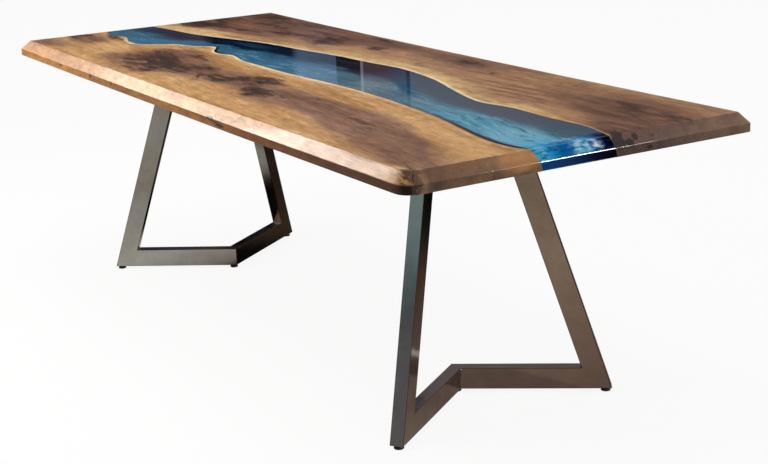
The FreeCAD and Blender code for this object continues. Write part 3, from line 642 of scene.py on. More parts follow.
def walnutMaterial(name, side):
    look = slabLook[side]
    outward = float(look["outward"])
    material, add = newMaterial(name)
    place, (x, y, z), (faceX, faceY, _) = readPlace(add)

    # distance from the river's bank and from the outer edge, in metres
    along = add("MapRange", (x, -halfLength, halfLength))
    fromBank = add("Math", (y, bankPlace(add, along, side)), operation="SUBTRACT")
    fromBank = weighted(add, (fromBank, outward))
    rim = add("FloatCurve", {"Value": along}, curve=rims[side])
    fromRim = weighted(add, (y, -outward), start=rim)

    # fibres along the grain, broad streaks, clouds, then open pores
    grain = add("Mapping", {"Vector": place, "Rotation": (0, 0, math.radians(-look["grainTurn"]))})
    warped = warpPlace(add, grain, *woodLook["grainFlow"])
    fibre, streak, cloud, pore = (scaledNoise(add, warped, *woodLook[key])
                                  for key in ("fibre", "streak", "cloud", "pore"))
    pore = add("MapRange", (pore, 0.60, 0.70), **smooth)

    # growth rings round the tree's heart, which lies under the slab
    axisY, axisZ = look["ringAxis"]
    rings = add("Mapping", {"Vector": warped, "Location": (0, -axisY, -axisZ),
                            "Rotation": (0, math.radians(1.6), math.radians(-1.2 * outward))})
    rings = add("TexWave", {"Vector": rings, "Scale": 0.314 / look["ringSpacing"], "Distortion": 1.6,
                            "Detail": 3.0, "Detail Scale": 0.6, "Detail Roughness": 0.6},
                output="Fac", wave_type="RINGS", rings_direction="X", wave_profile="SAW")
    rings = add("Math", (rings, 3.0), operation="POWER")

    # the plain wood
    tone = weighted(add, (streak, 0.62), (fibre, 0.26), (cloud, 0.30))
    wood = add("ValToRGB", (tone,), stops=zip((0.48, 0.58, 0.70), look["base"]))

    # brown heartwood in soft belts, feathered along the grain
    soft = warpPlace(add, grain, *woodLook["beltFlow"])
    soft = add("Mapping", {"Vector": soft, "Rotation": (0, 0, math.radians(look["grainTurn"]))})
    belt = weighted(add, (streak, 0.9), start=addMarks(add, soft, look["brown"]))
    brown = add("ValToRGB", (tone,), stops=zip((0.48, 0.68), look["heart"]))
    wood = layOver(add, wood, brown, belt, 0.46, 1.08)

    # pale sapwood along the bank and the outer edge
    wide, least = look["sapWidth"]
    thins, gone = look["sapEnd"]
    thinning = add("MapRange", (x, gone, thins))
    sapWidth = weighted(add, (weighted(add, (cloud, wide), start=least), thinning))
    sapWidth = add("Math", (sapWidth, 0.004), operation="MAXIMUM")
    sap = add("Math", (fromBank, sapWidth), operation="DIVIDE")
    sap = weighted(add, (streak, 0.5), start=sap)
    sap = add("MapRange", (sap, 1.45, 0.65), **smooth)
    edge = weighted(add, (streak, -0.05), start=fromRim)
    edge = add("MapRange", (edge, 0.012, -0.022), **smooth)
    sap = add("Math", (sap, edge), operation="MAXIMUM")
    pale = add("ValToRGB", (tone,), stops=zip((0.45, 0.75), look["sapwood"]))
    wood = add("Mix", {0: sap, 6: wood, 7: pale}, **rgba)

    # glowing patches, then the smoky figure, ragged at every size
    wood = layOver(add, wood, pale, addMarks(add, soft, look["glow"]), 0.05, 0.8, 0.85)
    feather = warpPlace(add, soft, *woodLook["smokeFlow"])
    smoke = addMarks(add, feather, look["smoke"])
    flecks = scaledNoise(add, feather, *woodLook["flecks"])
    flecks = add("MapRange", (flecks, 0.40, 0.62))
    depth = weighted(add, (flecks, 0.5), (smoke, 0.62))
    shade = add("ValToRGB", (depth,), stops=zip((0.15, 0.50, 0.98), look["smokeColours"]))
    flecks = weighted(add, (flecks, 1.15), start=0.22)
    wood = layOver(add, wood, shade, weighted(add, (smoke, flecks)), 0.02, 0.55, 0.94)

    # the youngest ring is palest, where the bark was
    full, gone = look["barkLine"]
    young = add("MapRange", (fromBank, 0.015, 0.007))
    leftPart = add("MapRange", (x, gone, full), **smooth)
    shows = add("MapRange", (x, *woodLook["ringShows"], 0.0, 0.65))
    young = weighted(add, (weighted(add, (young, leftPart)), shows))
    wood = add("Mix", {0: young, 6: wood, 7: linear(woodLook["youngRing"])}, **rgba)

    # curl, the figure of the wood, then late wood, fibres and pores darken what they cross
    curl = add("Mapping", {"Vector": warped, "Rotation": (0, 0, math.radians(look["curlTurn"])),
                           "Scale": woodLook["curl"]})
    curl = add("TexNoise", {"Vector": curl, "Scale": 1.0, "Detail": 5.0, "Roughness": 0.6})
    for pattern, low, high, least, most in ((curl, 0.3, 0.7, 0.72, 1.25), (rings, 0.0, 1.0, 1.0, 0.84),
                                            (fibre, 0.3, 0.7, 0.84, 1.12), (pore, 0.0, 1.0, 1.0, 0.72)):
        wood = shadeBy(add, wood, pattern, low, high, least, most)

    # rings round the knots
    eye = addMarks(add, soft, look["eyes"])
    eyeOn = add("MapRange", (eye, 0.02, 0.4, 0.0, 0.30))
    eye = add("Math", (weighted(add, (eye, 30.0)),), operation="SINE")
    eye = add("MapRange", (eye, -1.0, 1.0))
    wood = add("Mix", {0: weighted(add, (eye, eyeOn)), 6: wood, 7: linear(woodLook["eyeRing"])}, **rgba)

    # the sawn ends show end grain, which drinks more oil
    ends = add("Math", (faceX,), operation="ABSOLUTE")
    low = add("MapRange", (z, topLevel - creaseDrop + 0.001, topLevel - creaseDrop - 0.001))
    dots = add("TexNoise", {"Vector": place, "Scale": woodLook["endPores"], "Detail": 3.0, "Roughness": 0.6})
    # the band under the bevel takes the darker end tone: painted shade on the sawn end
    oiled = add("Mix", {0: low, 6: linear(look["endTone"][0]), 7: linear(look["endTone"][1])}, **rgba)
    oiled = layOver(add, oiled, woodLook["endSapwood"], addMarks(add, place, look["endSap"]), 0.05, 0.8)
    oiled = shadeBy(add, oiled, dots, 0.35, 0.65, 0.75, 1.1)
    oiled = add("Mix", {0: 0.15, 6: oiled, 7: wood}, **rgba)
    wood = layOver(add, wood, oiled, ends, 0.45, 0.75, 0.8)

    # the shaped long edge, with painted light and shade along its length, and a painted shade line along its
    # lower crease
    outer = add("MapRange", (weighted(add, (faceY, outward)), 0.3, 0.55), **smooth)
    bevelLightAndShade, bandLightAndShade = (add("ValToRGB", (along,), stops=look[key]) for key in ("bevelLightAndShade", "bandLightAndShade"))
    tint = add("Mix", {0: low, 6: bevelLightAndShade, 7: bandLightAndShade}, **rgba)
    wood = add("Mix", {0: outer, 6: wood, 7: tint}, blend_type="MULTIPLY", **rgba)
    # painted shade: a dark line along the lower crease of the shaped edge
    rubAndCreaseShade = add("Math", (z, topLevel - creaseDrop - 0.0003), operation="SUBTRACT")
    rubAndCreaseShade = weighted(add, (cloud, 0.004), start=add("Math", (rubAndCreaseShade,), operation="ABSOLUTE"))
    rubAndCreaseShade = add("MapRange", (rubAndCreaseShade, 0.0040, 0.0018, 0.0, 0.6), **smooth)
    wood = add("Mix", {0: weighted(add, (rubAndCreaseShade, outer)), 6: wood, 7: linear(woodLook["creaseShade"])}, **rgba)

    # knots, cracks, and a painted shadow line along the bank
    jag = warpPlace(add, place, *woodLook["knotFlow"])
    knot = add("MapRange", (addMarks(add, jag, look["knots"]), 0.15, 0.7, 0.0, 0.9), **smooth)
    wood = add("Mix", {0: knot, 6: wood, 7: linear(woodLook["knot"])}, **rgba)
    crackAndBankShadow = add("MapRange", (addMarks(add, jag, look["cracks"]), 0.1, 0.5), **smooth)
    start, full = look["bankShadow"]
    # painted shadow: a dark line on the wood along the river's bank
    seam = add("MapRange", (fromBank, 0.007, 0.002))
    bankShadowOn = add("MapRange", (x, start, full))
    bankShadowOff = add("MapRange", (x, *woodLook["bankShadowEnd"]))
    seam = weighted(add, (weighted(add, (seam, bankShadowOn)), bankShadowOff))
    crackAndBankShadow = add("Math", (crackAndBankShadow, seam), operation="MAXIMUM")
    wood = add("Mix", {0: crackAndBankShadow, 6: wood, 7: linear(woodLook["crackAndBankShadow"])}, **rgba)

    # relief: pores and cracks sink, fibres stand a little; the shaped edges keep the tool's slow facets
    facet = weighted(add, (scaledNoise(add, place, *woodLook["facet"]), outer))
    depth = weighted(add, (fibre, 0.35), (pore, -0.5), (crackAndBankShadow, -4.0), (knot, -0.5), (facet, 8.0))
    relief = add("Bump", {"Height": depth, "Strength": 0.4, "Distance": 0.0003})

    # a satin oil; by the river's end the pour's clear skin runs a little way over the wood
    rough = add("MapRange", (fibre, 0.3, 0.7, 0.46, 0.36))
    skin = add("MapRange", (addMarks(add, place, [look["bankShine"]]), 0.1, 0.5, 0.07, 1.0))
    surface = add("BsdfPrincipled", {
        "Base Color": wood, "Roughness": weighted(add, (pore, 0.2), start=rough), "Normal": relief, "IOR": 1.47,
        "Specular IOR Level": 0.15, "Coat Weight": skin, "Coat Roughness": 0.07, "Coat IOR": 1.8,
    })
    add("OutputMaterial", {"Surface": surface})
    return material


# resin: cast epoxy with blue and pearl pigment, polished to a gloss; the pigment hangs in slow swirls

riverLook = {
    # colours of the half by the near bank and of the half by the far one, at x in mm; the far half's purple-greys
    # and greys are partly painted reflection of the room over its blue pigment
    "nearColours": [(-1250, "#3b667d"), (-1120, "#3c7690"), (-1000, "#3e7594"), (-880, "#3a7fa0"),
                    (-700, "#2f5f80"), (-520, "#366e8c"), (-400, "#477c99"), (-250, "#47789a"),
                    (-100, "#4d7b94"), (50, "#5a8096"), (200, "#587686"), (330, "#6e858c"),
                    (450, "#567280"), (600, "#567a8a"), (800, "#5894aa"), (950, "#5298b0"), (1080, "#7ab2c8"),
                    (1150, "#72b0cc"), (1205, "#52a9cf"), (1250, "#3a9ccc")],
    "farColoursAndReflection": [(-1250, "#2a4a63"), (-1150, "#25364e"), (-1050, "#142538"), (-930, "#101b33"),
                   (-850, "#07102f"), (-600, "#071837"), (-450, "#0a1c33"), (-250, "#111f33"),
                   (-150, "#141924"), (-60, "#1c1a24"), (10, "#231f29"), (130, "#241f2a"),
                   (230, "#303a4c"), (400, "#404956"), (700, "#48535d"), (900, "#555764"),
                   (1080, "#515d6a"), (1190, "#4b6076"), (1240, "#0a2050")],
    # x, y, half length, half width (mm), turn in degrees, strength
    "deeps": [(430, 40, 170, 45, -22, 0.9), (1120, 0, 110, 26, -14, 0.5), (-560, 60, 200, 40, 8, 0.5),
              (-330, 0, 120, 40, 0, 0.4)],
    "deepColour": "#1d4f69",
    # where the dark half reaches further across; y is 0 at the near bank and 220 at the far one
    "darks": [(-610, 130, 185, 85, 0, 1.05), (-420, 150, 160, 60, 0, 0.5)],
    # x where the painted shadow line by the near bank starts, is full, fades and ends
    "undercutShadow": [(-0.64, -0.60, -0.47, -0.40), (0.45, 0.9, 1.20, 1.245)],
    # colours of the last hand's width, from the near bank, 0, to the far one, 1; and of the end itself
    "lastColours": [(0.0, "#48b4d8"), (0.16, "#40aad6"), (0.25, "#2090c8"), (0.36, "#0c62a6"),
                    (0.48, "#0e6cb0"), (0.56, "#3e9cd0"), (0.68, "#5cb2dc"), (0.76, "#2a78b4"),
                    (0.84, "#11447f"), (0.90, "#06133a"), (1.0, "#03040f")],
    "endColours": [(0.0, "#0c4a86"), (0.4, "#16386a"), (0.75, "#0a1430"), (1.0, "#04050a")],
    # patterns, and how places are moved, as for the wood
    "veil": ((3.2, 16.0, 12.0), 4.0, 0.55),       # 62 by 310 mm
    "thread": ((9.0, 70.0, 60.0), 6.0, 0.58),     # 14 by 110 mm
    "strokeGrain": (170.0, 48.0, 110.0),          # 6 by 21 mm, across the river
    "polishWave": 9.0,                            # 110 mm
    "driftFlow": ((5.0, 12.0, 12.0), (0.22, 0.09, 0.05)), "swirlFlow": ((13.0, 36.0, 30.0), (0.06, 0.022, 0.02)),
    "poolFlow": ((9.0, 20.0, 20.0), (0.10, 0.05, 0.02)), "foamFlow": ((60.0, 60.0, 60.0), (0.008, 0.020, 0.008)),
    "strokeFlow": ((30.0, 30.0, 30.0), (0.010, 0.024, 0.010)), "strokeTurn": -8,
    "lively": (0.5, 1.1),        # x between which the threads grow stronger, metres
    "lastWidth": (1.15, 1.235),  # x between which the last hand's width fades in
    "lightThread": "#8ac6dc", "darkThread": "#17415f", "hollowColour": "#06265c", "foamColour": "#e2f4fb",
    # colour of the painted shadow line by the near bank
    "undercutShadowColour": "#20140f",
    # where white strokes are drawn at the end: x, y, half length, half width (mm), turn, strength, height,
    # half height (mm)
    "strokes": [(1236, -2, 34, 44, 0, 0.9, 755, 40), (1240, 36, 26, 26, 0, 0.9, 752, 40),
                (1196, -20, 22, 60, 0, 0.6, 765, 30), (1236, -110, 30, 20, 0, 0.5, 752, 40)],
}


def resinMaterial(name):
    material, add = newMaterial(name)
    place, (x, y, z), (faceX, _, _) = readPlace(add)
    along = add("MapRange", (x, -halfLength, halfLength))
    nearBank, farBank = (bankPlace(add, along, side) for side in ("near", "far"))
    # 0 at the near bank, 1 at the far bank
    width = add("Math", (farBank, nearBank), operation="SUBTRACT")
    fromNear = add("Math", (y, nearBank), operation="SUBTRACT")
    across = add("Math", (fromNear, width), operation="DIVIDE", use_clamp=True)

    # the pigment drifts along the river, so its patterns are drawn in river places
    river = add("CombineXYZ", (x, weighted(add, (across, 0.22)), z))
    drift = warpPlace(add, river, *riverLook["driftFlow"])
    swirl = warpPlace(add, drift, *riverLook["swirlFlow"])
    veil = scaledNoise(add, drift, *riverLook["veil"])
    thread = scaledNoise(add, swirl, *riverLook["thread"])

    nearColour, farColour = (add("ValToRGB", (along,), stops=[((at / 1000 + halfLength) / (2 * halfLength), tint)
                                                                for at, tint in riverLook[key]])
                             for key in ("nearColours", "farColoursAndReflection"))
    # the far half's colour carries painted reflection over the pigment
    half = weighted(add, (veil, 0.55), (addMarks(add, drift, riverLook["darks"]), 0.5), start=across)
    half = add("MapRange", (half, 0.58, 0.98), **smooth)
    colour = add("Mix", {0: half, 6: nearColour, 7: farColour}, **rgba)
    pools = addMarks(add, warpPlace(add, place, *riverLook["poolFlow"]), riverLook["deeps"])
    colour = layOver(add, colour, riverLook["deepColour"], pools, 0.05, 0.7)

    # threads of light and dark pigment, in the near half and livelier towards the right end
    lively = add("MapRange", (x, *riverLook["lively"], 0.42, 0.9))
    calm = add("MapRange", (half, 0.0, 1.0, 1.0, 0.12))
    calm = weighted(add, (calm, lively))
    for low, high, tint in ((0.50, 0.74, "lightThread"), (0.50, 0.28, "darkThread")):
        strand = add("MapRange", (thread, low, high), **smooth)
        colour = add("Mix", {0: weighted(add, (strand, calm)), 6: colour, 7: linear(riverLook[tint])}, **rgba)

    # the last hand's width: azure by the near bank, navy by the far one, with white strokes over both
    strokes = warpPlace(add, place, *riverLook["strokeFlow"])
    strokes = add("Mapping", {"Vector": strokes, "Scale": riverLook["strokeGrain"],
                              "Rotation": (0, 0, math.radians(riverLook["strokeTurn"]))})
    strokes = add("TexNoise", {"Vector": strokes, "Scale": 1.0, "Detail": 4.0, "Roughness": 0.55})
    lastWidth = add("MapRange", (x, *riverLook["lastWidth"]))
    fall = add("ValToRGB", (across,), stops=riverLook["lastColours"])
    shore = weighted(add, (veil, 0.9), (strokes, 0.9), start=lastWidth)
    shore = add("MapRange", (shore, 1.39, 1.74), **smooth)
    colour = add("Mix", {0: shore, 6: colour, 7: fall}, **rgba)
    hollow = add("MapRange", (strokes, 0.47, 0.34, 0.0, 0.7), **smooth)
    hollow = weighted(add, (hollow, shore))
    colour = add("Mix", {0: hollow, 6: colour, 7: linear(riverLook["hollowColour"])}, **rgba)
    foam = addMarks(add, warpPlace(add, place, *riverLook["foamFlow"]), riverLook["strokes"])
    foam = add("MapRange", (foam, 0.1, 0.9))
    crest = add("MapRange", (strokes, 0.46, 0.68))
    colour = add("Mix", {0: weighted(add, (foam, crest)), 6: colour, 7: linear(riverLook["foamColour"])}, **rgba)

    # painted shadow: the undercut of the near bank is painted as a dark shadow line in the pour
    line = 0.0
    for start, full, fading, gone in riverLook["undercutShadow"]:
        rise = add("MapRange", (x, start, full))
        drop = add("MapRange", (x, gone, fading))
        line = weighted(add, (rise, drop), start=line)
    shadow = add("MapRange", (fromNear, 0.014, 0.006))
    shadow = weighted(add, (shadow, line))
    colour = add("Mix", {0: shadow, 6: colour, 7: linear(riverLook["undercutShadowColour"])}, **rgba)

    # seen through its end the pour is deep
    endColour = add("ValToRGB", (across,), stops=riverLook["endColours"])
    colour = layOver(add, colour, endColour, add("Math", (faceX,), operation="ABSOLUTE"), 0.84, 0.96)

    # polishing leaves the faintest waves
    polish = add("TexNoise", {"Vector": place, "Scale": riverLook["polishWave"], "Detail": 2.0})
    relief = add("Bump", {"Height": polish, "Strength": 0.03, "Distance": 0.0005})
    surface = add("BsdfPrincipled", {"Base Color": colour, "Roughness": 0.012, "Normal": relief, "IOR": 1.5,
                                     "Specular IOR Level": 0.5})
    add("OutputMaterial", {"Surface": surface})
    return material


walnutNear = finishTop("walnut_slab_near", "walnutNear", -1)
putOn(walnutNear, walnutMaterial("oiledWalnutNear", "near"), "table")
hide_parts("walnut_slab_near")
walnutFar = finishTop("walnut_slab_far", "walnutFar", 1)
putOn(walnutFar, walnutMaterial("oiledWalnutFar", "far"), "table")
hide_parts("walnut_slab_far")
print("slabs finished")

riverCast = finishTop("resin_river", "riverCast", 0)
putOn(riverCast, resinMaterial("pigmentedEpoxy"), "table")
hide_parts("resin_river")
print("river finished")


# metals and nylon

metalLook = {
    # colour, roughness, how deep the marks of making are and how far apart, in mm
    "legSteel": ("#b5b0aa", 0.12, 0.06, 30),
    "plateSteel": ("#5d5b59", 0.38, 0.05, 6),
    "zincPlate": ("#b4b6b8", 0.28, 0.02, 4),
    "weldSteel": ("#8f8a86", 0.3, 0.04, 3),
    "haze": 24.0,       # times for each metre, so places of 42 mm
    # colour of the painted dark reflection along the box section's rounded corners
    "cornerReflectionColour": "#3a302b",
    "legAngle": 54,     # degrees between a rail and the table's length
    "legLean": 0.3232,  # how far a post leans for each metre up
}


def steelMaterial(name, look, paintedCornerReflection=False):
    # polished bright: faint ripples of the polishing wheel, a few hazy places, and on the box section a painted
    # dark reflection along its rounded corners
    colour, roughness, depth, apart = look
    material, add = newMaterial(name)
    place = add("TexCoord", output="Object")
    ripple = scaledNoise(add, place, [1000 / apart] * 3, 3.0, 0.5)
    haze = add("TexNoise", {"Vector": place, "Scale": metalLook["haze"], "Detail": 5.0, "Roughness": 0.65})
    tint = shadeBy(add, linear(colour), haze, 0.3, 0.7, 0.88, 1.06)
    rough = add("MapRange", (haze, 0.3, 0.7, roughness * 0.75, roughness * 1.35))
    # painted dark reflection along the rounded corners of the box section
    if paintedCornerReflection:
        angle, lean = math.radians(metalLook["legAngle"]), metalLook["legLean"]
        slant = math.sqrt(1 + lean * lean)
        facing = add("TexCoord", output="Normal")
        facing = add("VectorMath", (facing,), operation="ABSOLUTE")
        flat = 0.0
        for direction in ((math.sin(angle), math.cos(angle), 0), (0, 0, 1),
                          (math.cos(angle) / slant, math.sin(angle) / slant, lean / slant)):
            square = add("VectorMath", (facing, direction), output="Value", operation="DOT_PRODUCT")
            flat = add("Math", (square, flat), operation="MAXIMUM")
        flat = add("MapRange", (flat, 0.985, 0.997))
        tint = add("Mix", {0: flat, 6: linear(metalLook["cornerReflectionColour"]), 7: tint}, **rgba)
    relief = add("Bump", {"Height": ripple, "Strength": 0.5, "Distance": depth / 1000})
    surface = add("BsdfPrincipled", {"Base Color": tint, "Metallic": 1.0, "Roughness": rough, "Normal": relief})
    add("OutputMaterial", {"Surface": surface})
    return material


nylonLook = {
    "spark": 1600.0,    # times for each metre, so 0.6 mm, coarser than real, to show
    "rubAndCreaseShade": 90.0,        # and 11 mm
    "tints": [(0.35, "#0d0d0d"), (0.7, "#1a1919")],
}


def nylonMaterial(name):
    # moulded black nylon: an even fine spark texture, rubbed smoother where it slides
    material, add = newMaterial(name)
    place = add("TexCoord", output="Object")
    spark = add("TexNoise", {"Vector": place, "Scale": nylonLook["spark"], "Detail": 2.0})
    rubAndCreaseShade = add("TexNoise", {"Vector": place, "Scale": nylonLook["rubAndCreaseShade"], "Detail": 3.0})
    tint = add("ValToRGB", (rubAndCreaseShade,), stops=nylonLook["tints"])
    rough = add("MapRange", (rubAndCreaseShade, 0.3, 0.7, 0.5, 0.66))
    relief = add("Bump", {"Height": spark, "Strength": 0.4, "Distance": 0.0001})
    surface = add("BsdfPrincipled", {"Base Color": tint, "Roughness": rough, "Normal": relief, "IOR": 1.53,
                                     "Specular IOR Level": 0.3})
    add("OutputMaterial", {"Surface": surface})
    return material


finishes = {
    "leg_steel": steelMaterial("polishedLegSteel", metalLook["legSteel"], paintedCornerReflection=True),
    "plate_steel": steelMaterial("rolledPlateSteel", metalLook["plateSteel"]),
    "fixing_zinc": steelMaterial("zincPlatedFixings", metalLook["zincPlate"]),
    "pad_nylon": nylonMaterial("mouldedNylon"),
}
finishes["foot_zinc"] = finishes["fixing_zinc"]
weldSteel = steelMaterial("groundWeldSteel", metalLook["weldSteel"])
for part in frame["record"]["subparts"]:
    finish = finishes.get(part["material_slot"])
    if finish:
        for materialSlot in nodes[part["node"]].material_slots:
            materialSlot.material = finish
print("metals and nylon finished")


# small pieces: screws, washers, plates, welds and feet

def newCylinder(name, sides, radius, low, high):
    bpy.ops.object.select_all(action="DESELECT")
    bpy.ops.mesh.primitive_cylinder_add(vertices=sides, radius=radius, depth=high - low,
                                        location=(0, 0, (low + high) / 2))
    piece = bpy.context.object
    piece.name = name
    keepPlace()
    return piece


def turnProfile(name, profile, steps):
    # draws half a section as points (radius, height) in mm and spins it round the Z axis
    bpy.ops.object.select_all(action="DESELECT")
    bpy.ops.mesh.primitive_plane_add(size=0.001)
    piece = bpy.context.object
    piece.name = name
    bpy.ops.object.mode_set(mode="EDIT")
    bpy.ops.mesh.select_mode(type="VERT")
    bpy.ops.mesh.select_all(action="SELECT")
    bpy.ops.mesh.merge(type="CENTER")
    radius, height = profile[0]
    bpy.ops.transform.translate(value=(radius / 1000, 0, height / 1000))
    for (lastRadius, lastHeight), (radius, height) in zip(profile, profile[1:]):
        bpy.ops.mesh.extrude_region_move(TRANSFORM_OT_translate={
            "value": ((radius - lastRadius) / 1000, 0, (height - lastHeight) / 1000)})
    bpy.ops.mesh.select_all(action="SELECT")
    bpy.ops.mesh.spin(steps=steps, angle=2 * math.pi, center=(0, 0, 0), axis=(0, 0, 1))
    bpy.ops.mesh.select_all(action="SELECT")
    bpy.ops.mesh.remove_doubles(threshold=0.00001)
    bpy.ops.mesh.normals_make_consistent(inside=False)
    leaveEdit()
    return piece


def subtract(piece, tool, operation="DIFFERENCE"):
    applyModifier(piece, "BOOLEAN", object=tool, operation=operation, solver="EXACT")
    bpy.data.objects.remove(tool)


def placeCopies(source, pieceName, places):
    # copies of a finished small piece at their places, joined into one piece
    copies = []
    for place in places:
        copy = bpy.data.objects.new(pieceName, source.data.copy())
        scene.collection.objects.link(copy)
        copy.data.transform(place)
        copies.append(copy)
    bpy.ops.object.select_all(action="DESELECT")
    for copy in copies:
        copy.select_set(True)
    bpy.context.view_layer.objects.active = copies[0]
    if len(copies) > 1:
        bpy.ops.object.join()
    return copies[0]


fixings = {
    "sides": {"left": -1, "right": 1},
    "screwX": (0.6905, 0.79057),    # metres from the middle of the table
    "screwY": (-0.3, -0.2, 0.2, 0.3),
    "headRadius": 0.007, "headLow": 0.7045, "headHigh": 0.709,
    "shankRadius": 0.004, "shankHigh": 0.734,
    "socketRadius": 0.0029, "socketDeep": 0.0028,
    "dome": 0.0026, "tipBreak": 0.0008, "socketBreak": 0.0002,
    "turned": 23,                   # degrees from one screw to the next
    "washerBreak": 0.0003, "plateBreak": 0.0006,
}


def endsWithin(piece, low, high, reach=1.0):
    # asks of an edge whether both its ends are between two heights and near the Z axis
    def test(edge):
        ends = [piece.data.vertices[i].co for i in edge.vertices]
        return all(low < end.z < high and end.xy.length < reach for end in ends)
    return test


def makeScrew():
    # a button head with a hexagon socket, head downwards
    low, high, tip = fixings["headLow"], fixings["headHigh"], fixings["shankHigh"]
    near = 0.0001
    screw = newCylinder("screwPattern", 48, fixings["headRadius"], low, high)
    pick(screw, "FACE", lambda face: face.normal.z > 0.9)
    bpy.ops.mesh.inset(thickness=fixings["headRadius"] - fixings["shankRadius"])
    bpy.ops.mesh.extrude_region_move(TRANSFORM_OT_translate={"value": (0, 0, tip - high)})
    pick(screw, "EDGE", endsWithin(screw, tip - near, tip + near))
    bpy.ops.mesh.bevel(offset=fixings["tipBreak"], offset_type="OFFSET", segments=1)
    pick(screw, "EDGE", endsWithin(screw, low - near, low + near))
    bpy.ops.mesh.bevel(offset=fixings["dome"], offset_type="OFFSET", segments=6, profile=0.55)
    leaveEdit()
    key = newCylinder("hexKey", 6, fixings["socketRadius"], low - 0.002, low + fixings["socketDeep"])
    subtract(screw, key)
    pick(screw, "EDGE", endsWithin(screw, low - near, low + 3 * near, fixings["socketRadius"] + 2 * near))
    bpy.ops.mesh.bevel(offset=fixings["socketBreak"], offset_type="OFFSET", segments=2)
    return finishShading(screw, 32)


def softenNode(nodeName, pieceName, width):
    # a node's own shape with its sharp edges broken
    piece = copyNode(nodeName, pieceName)
    applyModifier(piece, "BEVEL", width=width, segments=2, limit_method="ANGLE", angle_limit=math.radians(40))
    return finishShading(piece, 35)


screwPattern = makeScrew()
spots = [(across, along) for across in fixings["screwX"] for along in fixings["screwY"]]
for side, sign in fixings["sides"].items():
    places = [Matrix.Translation((sign * across, along, 0))
              @ Matrix.Rotation(math.radians(fixings["turned"] * turn), 4, "Z")
              for turn, (across, along) in enumerate(spots)]
    screws = placeCopies(screwPattern, "plateScrews_" + side, places)
    putOn(screws, finishes["fixing_zinc"], "table")
    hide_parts("plate_bolts_" + side)
    washers = softenNode("plate_washers_" + side, "roundedWashers_" + side, fixings["washerBreak"])
    putOn(washers, finishes["fixing_zinc"], "table")
    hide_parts("plate_washers_" + side)
    plate = softenNode("mounting_plate_" + side, "deburredPlate_" + side, fixings["plateBreak"])
    putOn(plate, finishes["plate_steel"], "table")
    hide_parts("mounting_plate_" + side)
bpy.data.objects.remove(screwPattern)
print("screws, washers and plates finished")


welds = {
    "vertexX": 0.69175,       # where the middle lines of a leg's two rails meet
    "openVertexX": 0.714,     # and the faces on the open side of the V
    "halfWidth": 0.018,
    "railHigh": 0.711, "baseLow": 0.0125, "baseHigh": 0.0665,
    "stitches": (0.034, 0.088),    # where along a top rail the stitches start
    "stitchLong": 0.034,
    "radius": 0.0022,
    "ripple": 0.00125,             # half of the length of a ripple
    "sunk": 0.0006,                # how far the corner's bead is sunk in
    "endGirth": 0.62, "grooveGirth": 0.84,     # of the bead's full radius
}


def makeBead(name, length):
    # a run of weld along the X axis, with ripples across it
    bead = newCylinder(name, 12, welds["radius"], 0, length)
    ripples = int(length / welds["ripple"])
    for i in range(1, ripples):
        editAll()
        bpy.ops.mesh.bisect(plane_co=(0, 0, i * length / ripples), plane_no=(0, 0, 1))
        leaveEdit()
    for v in bead.data.vertices:
        step = round(v.co.z / length * ripples)
        grow = welds["endGirth"] if step in (0, ripples) else 1.0 if step % 2 else welds["grooveGirth"]
        v.co.x, v.co.y = v.co.x * grow, v.co.y * grow
    bead.data.transform(Matrix.Rotation(math.radians(90), 4, "Y"))
    return finishShading(bead, 50)


stitch = makeBead("stitchPattern", welds["stitchLong"])
seam = makeBead("seamPattern", welds["baseHigh"] - welds["baseLow"])
for side, sign in fixings["sides"].items():
    angle = math.radians(metalLook["legAngle"])
    places = []
    for end in (-1, 1):
        run = Vector((sign * math.cos(angle), end * math.sin(angle), 0))
        out = Vector((run.y, -run.x, 0))
        turn = Matrix.Rotation(math.atan2(run.y, run.x), 4, "Z")
        for flank in (-1, 1):
            for start in welds["stitches"]:
                spot = Vector((sign * welds["vertexX"], 0, welds["railHigh"])) + run * start
                spot += out * flank * welds["halfWidth"]
                places.append(Matrix.Translation(spot) @ turn)
    beads = placeCopies(stitch, "railWelds_" + side, places)
    putOn(beads, weldSteel, "table")
    upright = Matrix.Translation((sign * (welds["openVertexX"] - welds["sunk"]), 0, welds["baseHigh"]))
    corner = placeCopies(seam, "cornerWeld_" + side, [upright @ Matrix.Rotation(math.radians(90), 4, "Y")])
    putOn(corner, weldSteel, "table")
bpy.data.objects.remove(stitch)
bpy.data.objects.remove(seam)
print("welds finished")


feet = {
    # half sections in mm: the nylon pad with the pocket for the stem's disc, then the stem's core
    "pad": [(0, 0), (10.6, 0), (11.8, 0.3), (12.7, 1.0), (13.0, 2.0), (12.85, 2.8), (12.25, 5.6), (11.95, 6.4),
            (11.5, 6.9), (11.0, 7.0), (4.7, 7.0), (4.3, 6.8), (4.2, 6.4), (4.2, 4.7), (6.7, 4.7), (6.7, 2.0),
            (0, 2.0)],
    "stem": [(0, 2.02), (6.1, 2.02), (6.5, 2.4), (6.5, 4.1), (6.1, 4.5), (4.0, 4.5), (4.0, 8.4), (3.42, 8.6),
             (3.42, 33.0), (3.0, 33.8), (0, 33.8)],
    "collar": (7.5, 7.4, 9.8),      # radius over its corners, lowest and highest, mm
    "collarBreak": 0.00035,
    "pitch": 1.25, "threadLow": 8.9, "turns": 18, "threadSteps": 28,
    "grips": 24,                    # ribs round the pad
    "hollowLow": 0.0029, "hollowHigh": 0.0055, "hollowDeep": 0.0005,     # and the hollows between them
    "hollowRim": 0.00016,
    "ribShare": 0.34,               # how much of the way round is rib
    "ridge": [(3.3, 0.0), (3.3, 1.1), (3.98, 0.65), (4.0, 0.55), (3.98, 0.45)],     # section of the thread
}


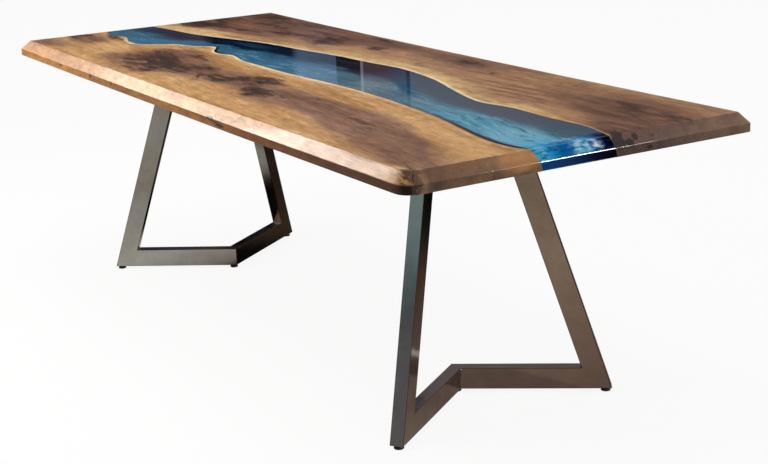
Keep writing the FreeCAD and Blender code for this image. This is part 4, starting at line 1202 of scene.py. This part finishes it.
def makePad():
    pad = turnProfile("padPattern", feet["pad"], 3 * feet["grips"])
    step = 2 * math.pi / feet["grips"]

    def isHollow(face):
        middle = face.center
        around = math.atan2(middle.y, middle.x) / step % 1
        return (feet["hollowLow"] < middle.z < feet["hollowHigh"] and face.normal.xy.length > 0.8
                and middle.xy.length > 0.01 and around > feet["ribShare"])
    pick(pad, "FACE", isHollow)
    bpy.ops.mesh.inset(thickness=feet["hollowRim"], depth=-feet["hollowDeep"], use_boundary=True)
    return finishShading(pad, 28)


def makeStem():
    stem = turnProfile("stemPattern", feet["stem"], 32)
    radius, low, high = (size / 1000 for size in feet["collar"])
    collar = newCylinder("collarBlank", 6, radius, low, high)
    bpy.ops.transform.rotate(value=math.radians(90), orient_axis="Z", center_override=(0, 0, 0))
    keepPlace()
    pick(collar, "EDGE", lambda edge: any(endsWithin(collar, z - 0.0001, z + 0.0001)(edge) for z in (low, high)))
    bpy.ops.mesh.bevel(offset=feet["collarBreak"], offset_type="OFFSET", segments=2)
    leaveEdit()
    subtract(stem, collar, "UNION")
    # a right-handed ridge, one pitch of it swept up the core
    bpy.ops.object.select_all(action="DESELECT")
    bpy.ops.mesh.primitive_circle_add(vertices=5, radius=0.0005, rotation=(math.radians(90), 0, 0))
    ridge = bpy.context.object
    keepPlace()
    for v, (out, up) in zip(ridge.data.vertices, feet["ridge"]):
        v.co = (out / 1000, 0, (feet["threadLow"] + up) / 1000)
    applyModifier(ridge, "SCREW", axis="Z", angle=2 * math.pi, screw_offset=feet["pitch"] / 1000,
                  iterations=feet["turns"], steps=feet["threadSteps"], render_steps=feet["threadSteps"],
                  use_merge_vertices=True)
    editAll()
    bpy.ops.mesh.fill_holes(sides=6)
    bpy.ops.mesh.select_all(action="SELECT")
    bpy.ops.mesh.normals_make_consistent(inside=False)
    leaveEdit()
    selectOnly(stem)
    ridge.select_set(True)
    bpy.ops.object.join()
    return finishShading(stem, 32)


padPattern = makePad()
stemPattern = makeStem()
print("foot patterns", len(padPattern.data.polygons), len(stemPattern.data.polygons), "faces")
for side in fixings["sides"]:
    for spot in ("near", "far", "vertex"):
        name = side + "_" + spot
        lowest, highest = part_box("foot_pad_" + name)
        middle = Matrix.Translation(((lowest.x + highest.x) / 2, (lowest.y + highest.y) / 2, 0))
        pad = placeCopies(padPattern, "ribbedPad_" + name, [middle])
        putOn(pad, finishes["pad_nylon"], "pad_" + name)
        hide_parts("foot_pad_" + name)
        stem = placeCopies(stemPattern, "threadedStem_" + name, [middle])
        putOn(stem, finishes["foot_zinc"], "stem_" + name)
        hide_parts("foot_stem_" + name)
bpy.data.objects.remove(padPattern)
bpy.data.objects.remove(stemPattern)
print("feet finished")
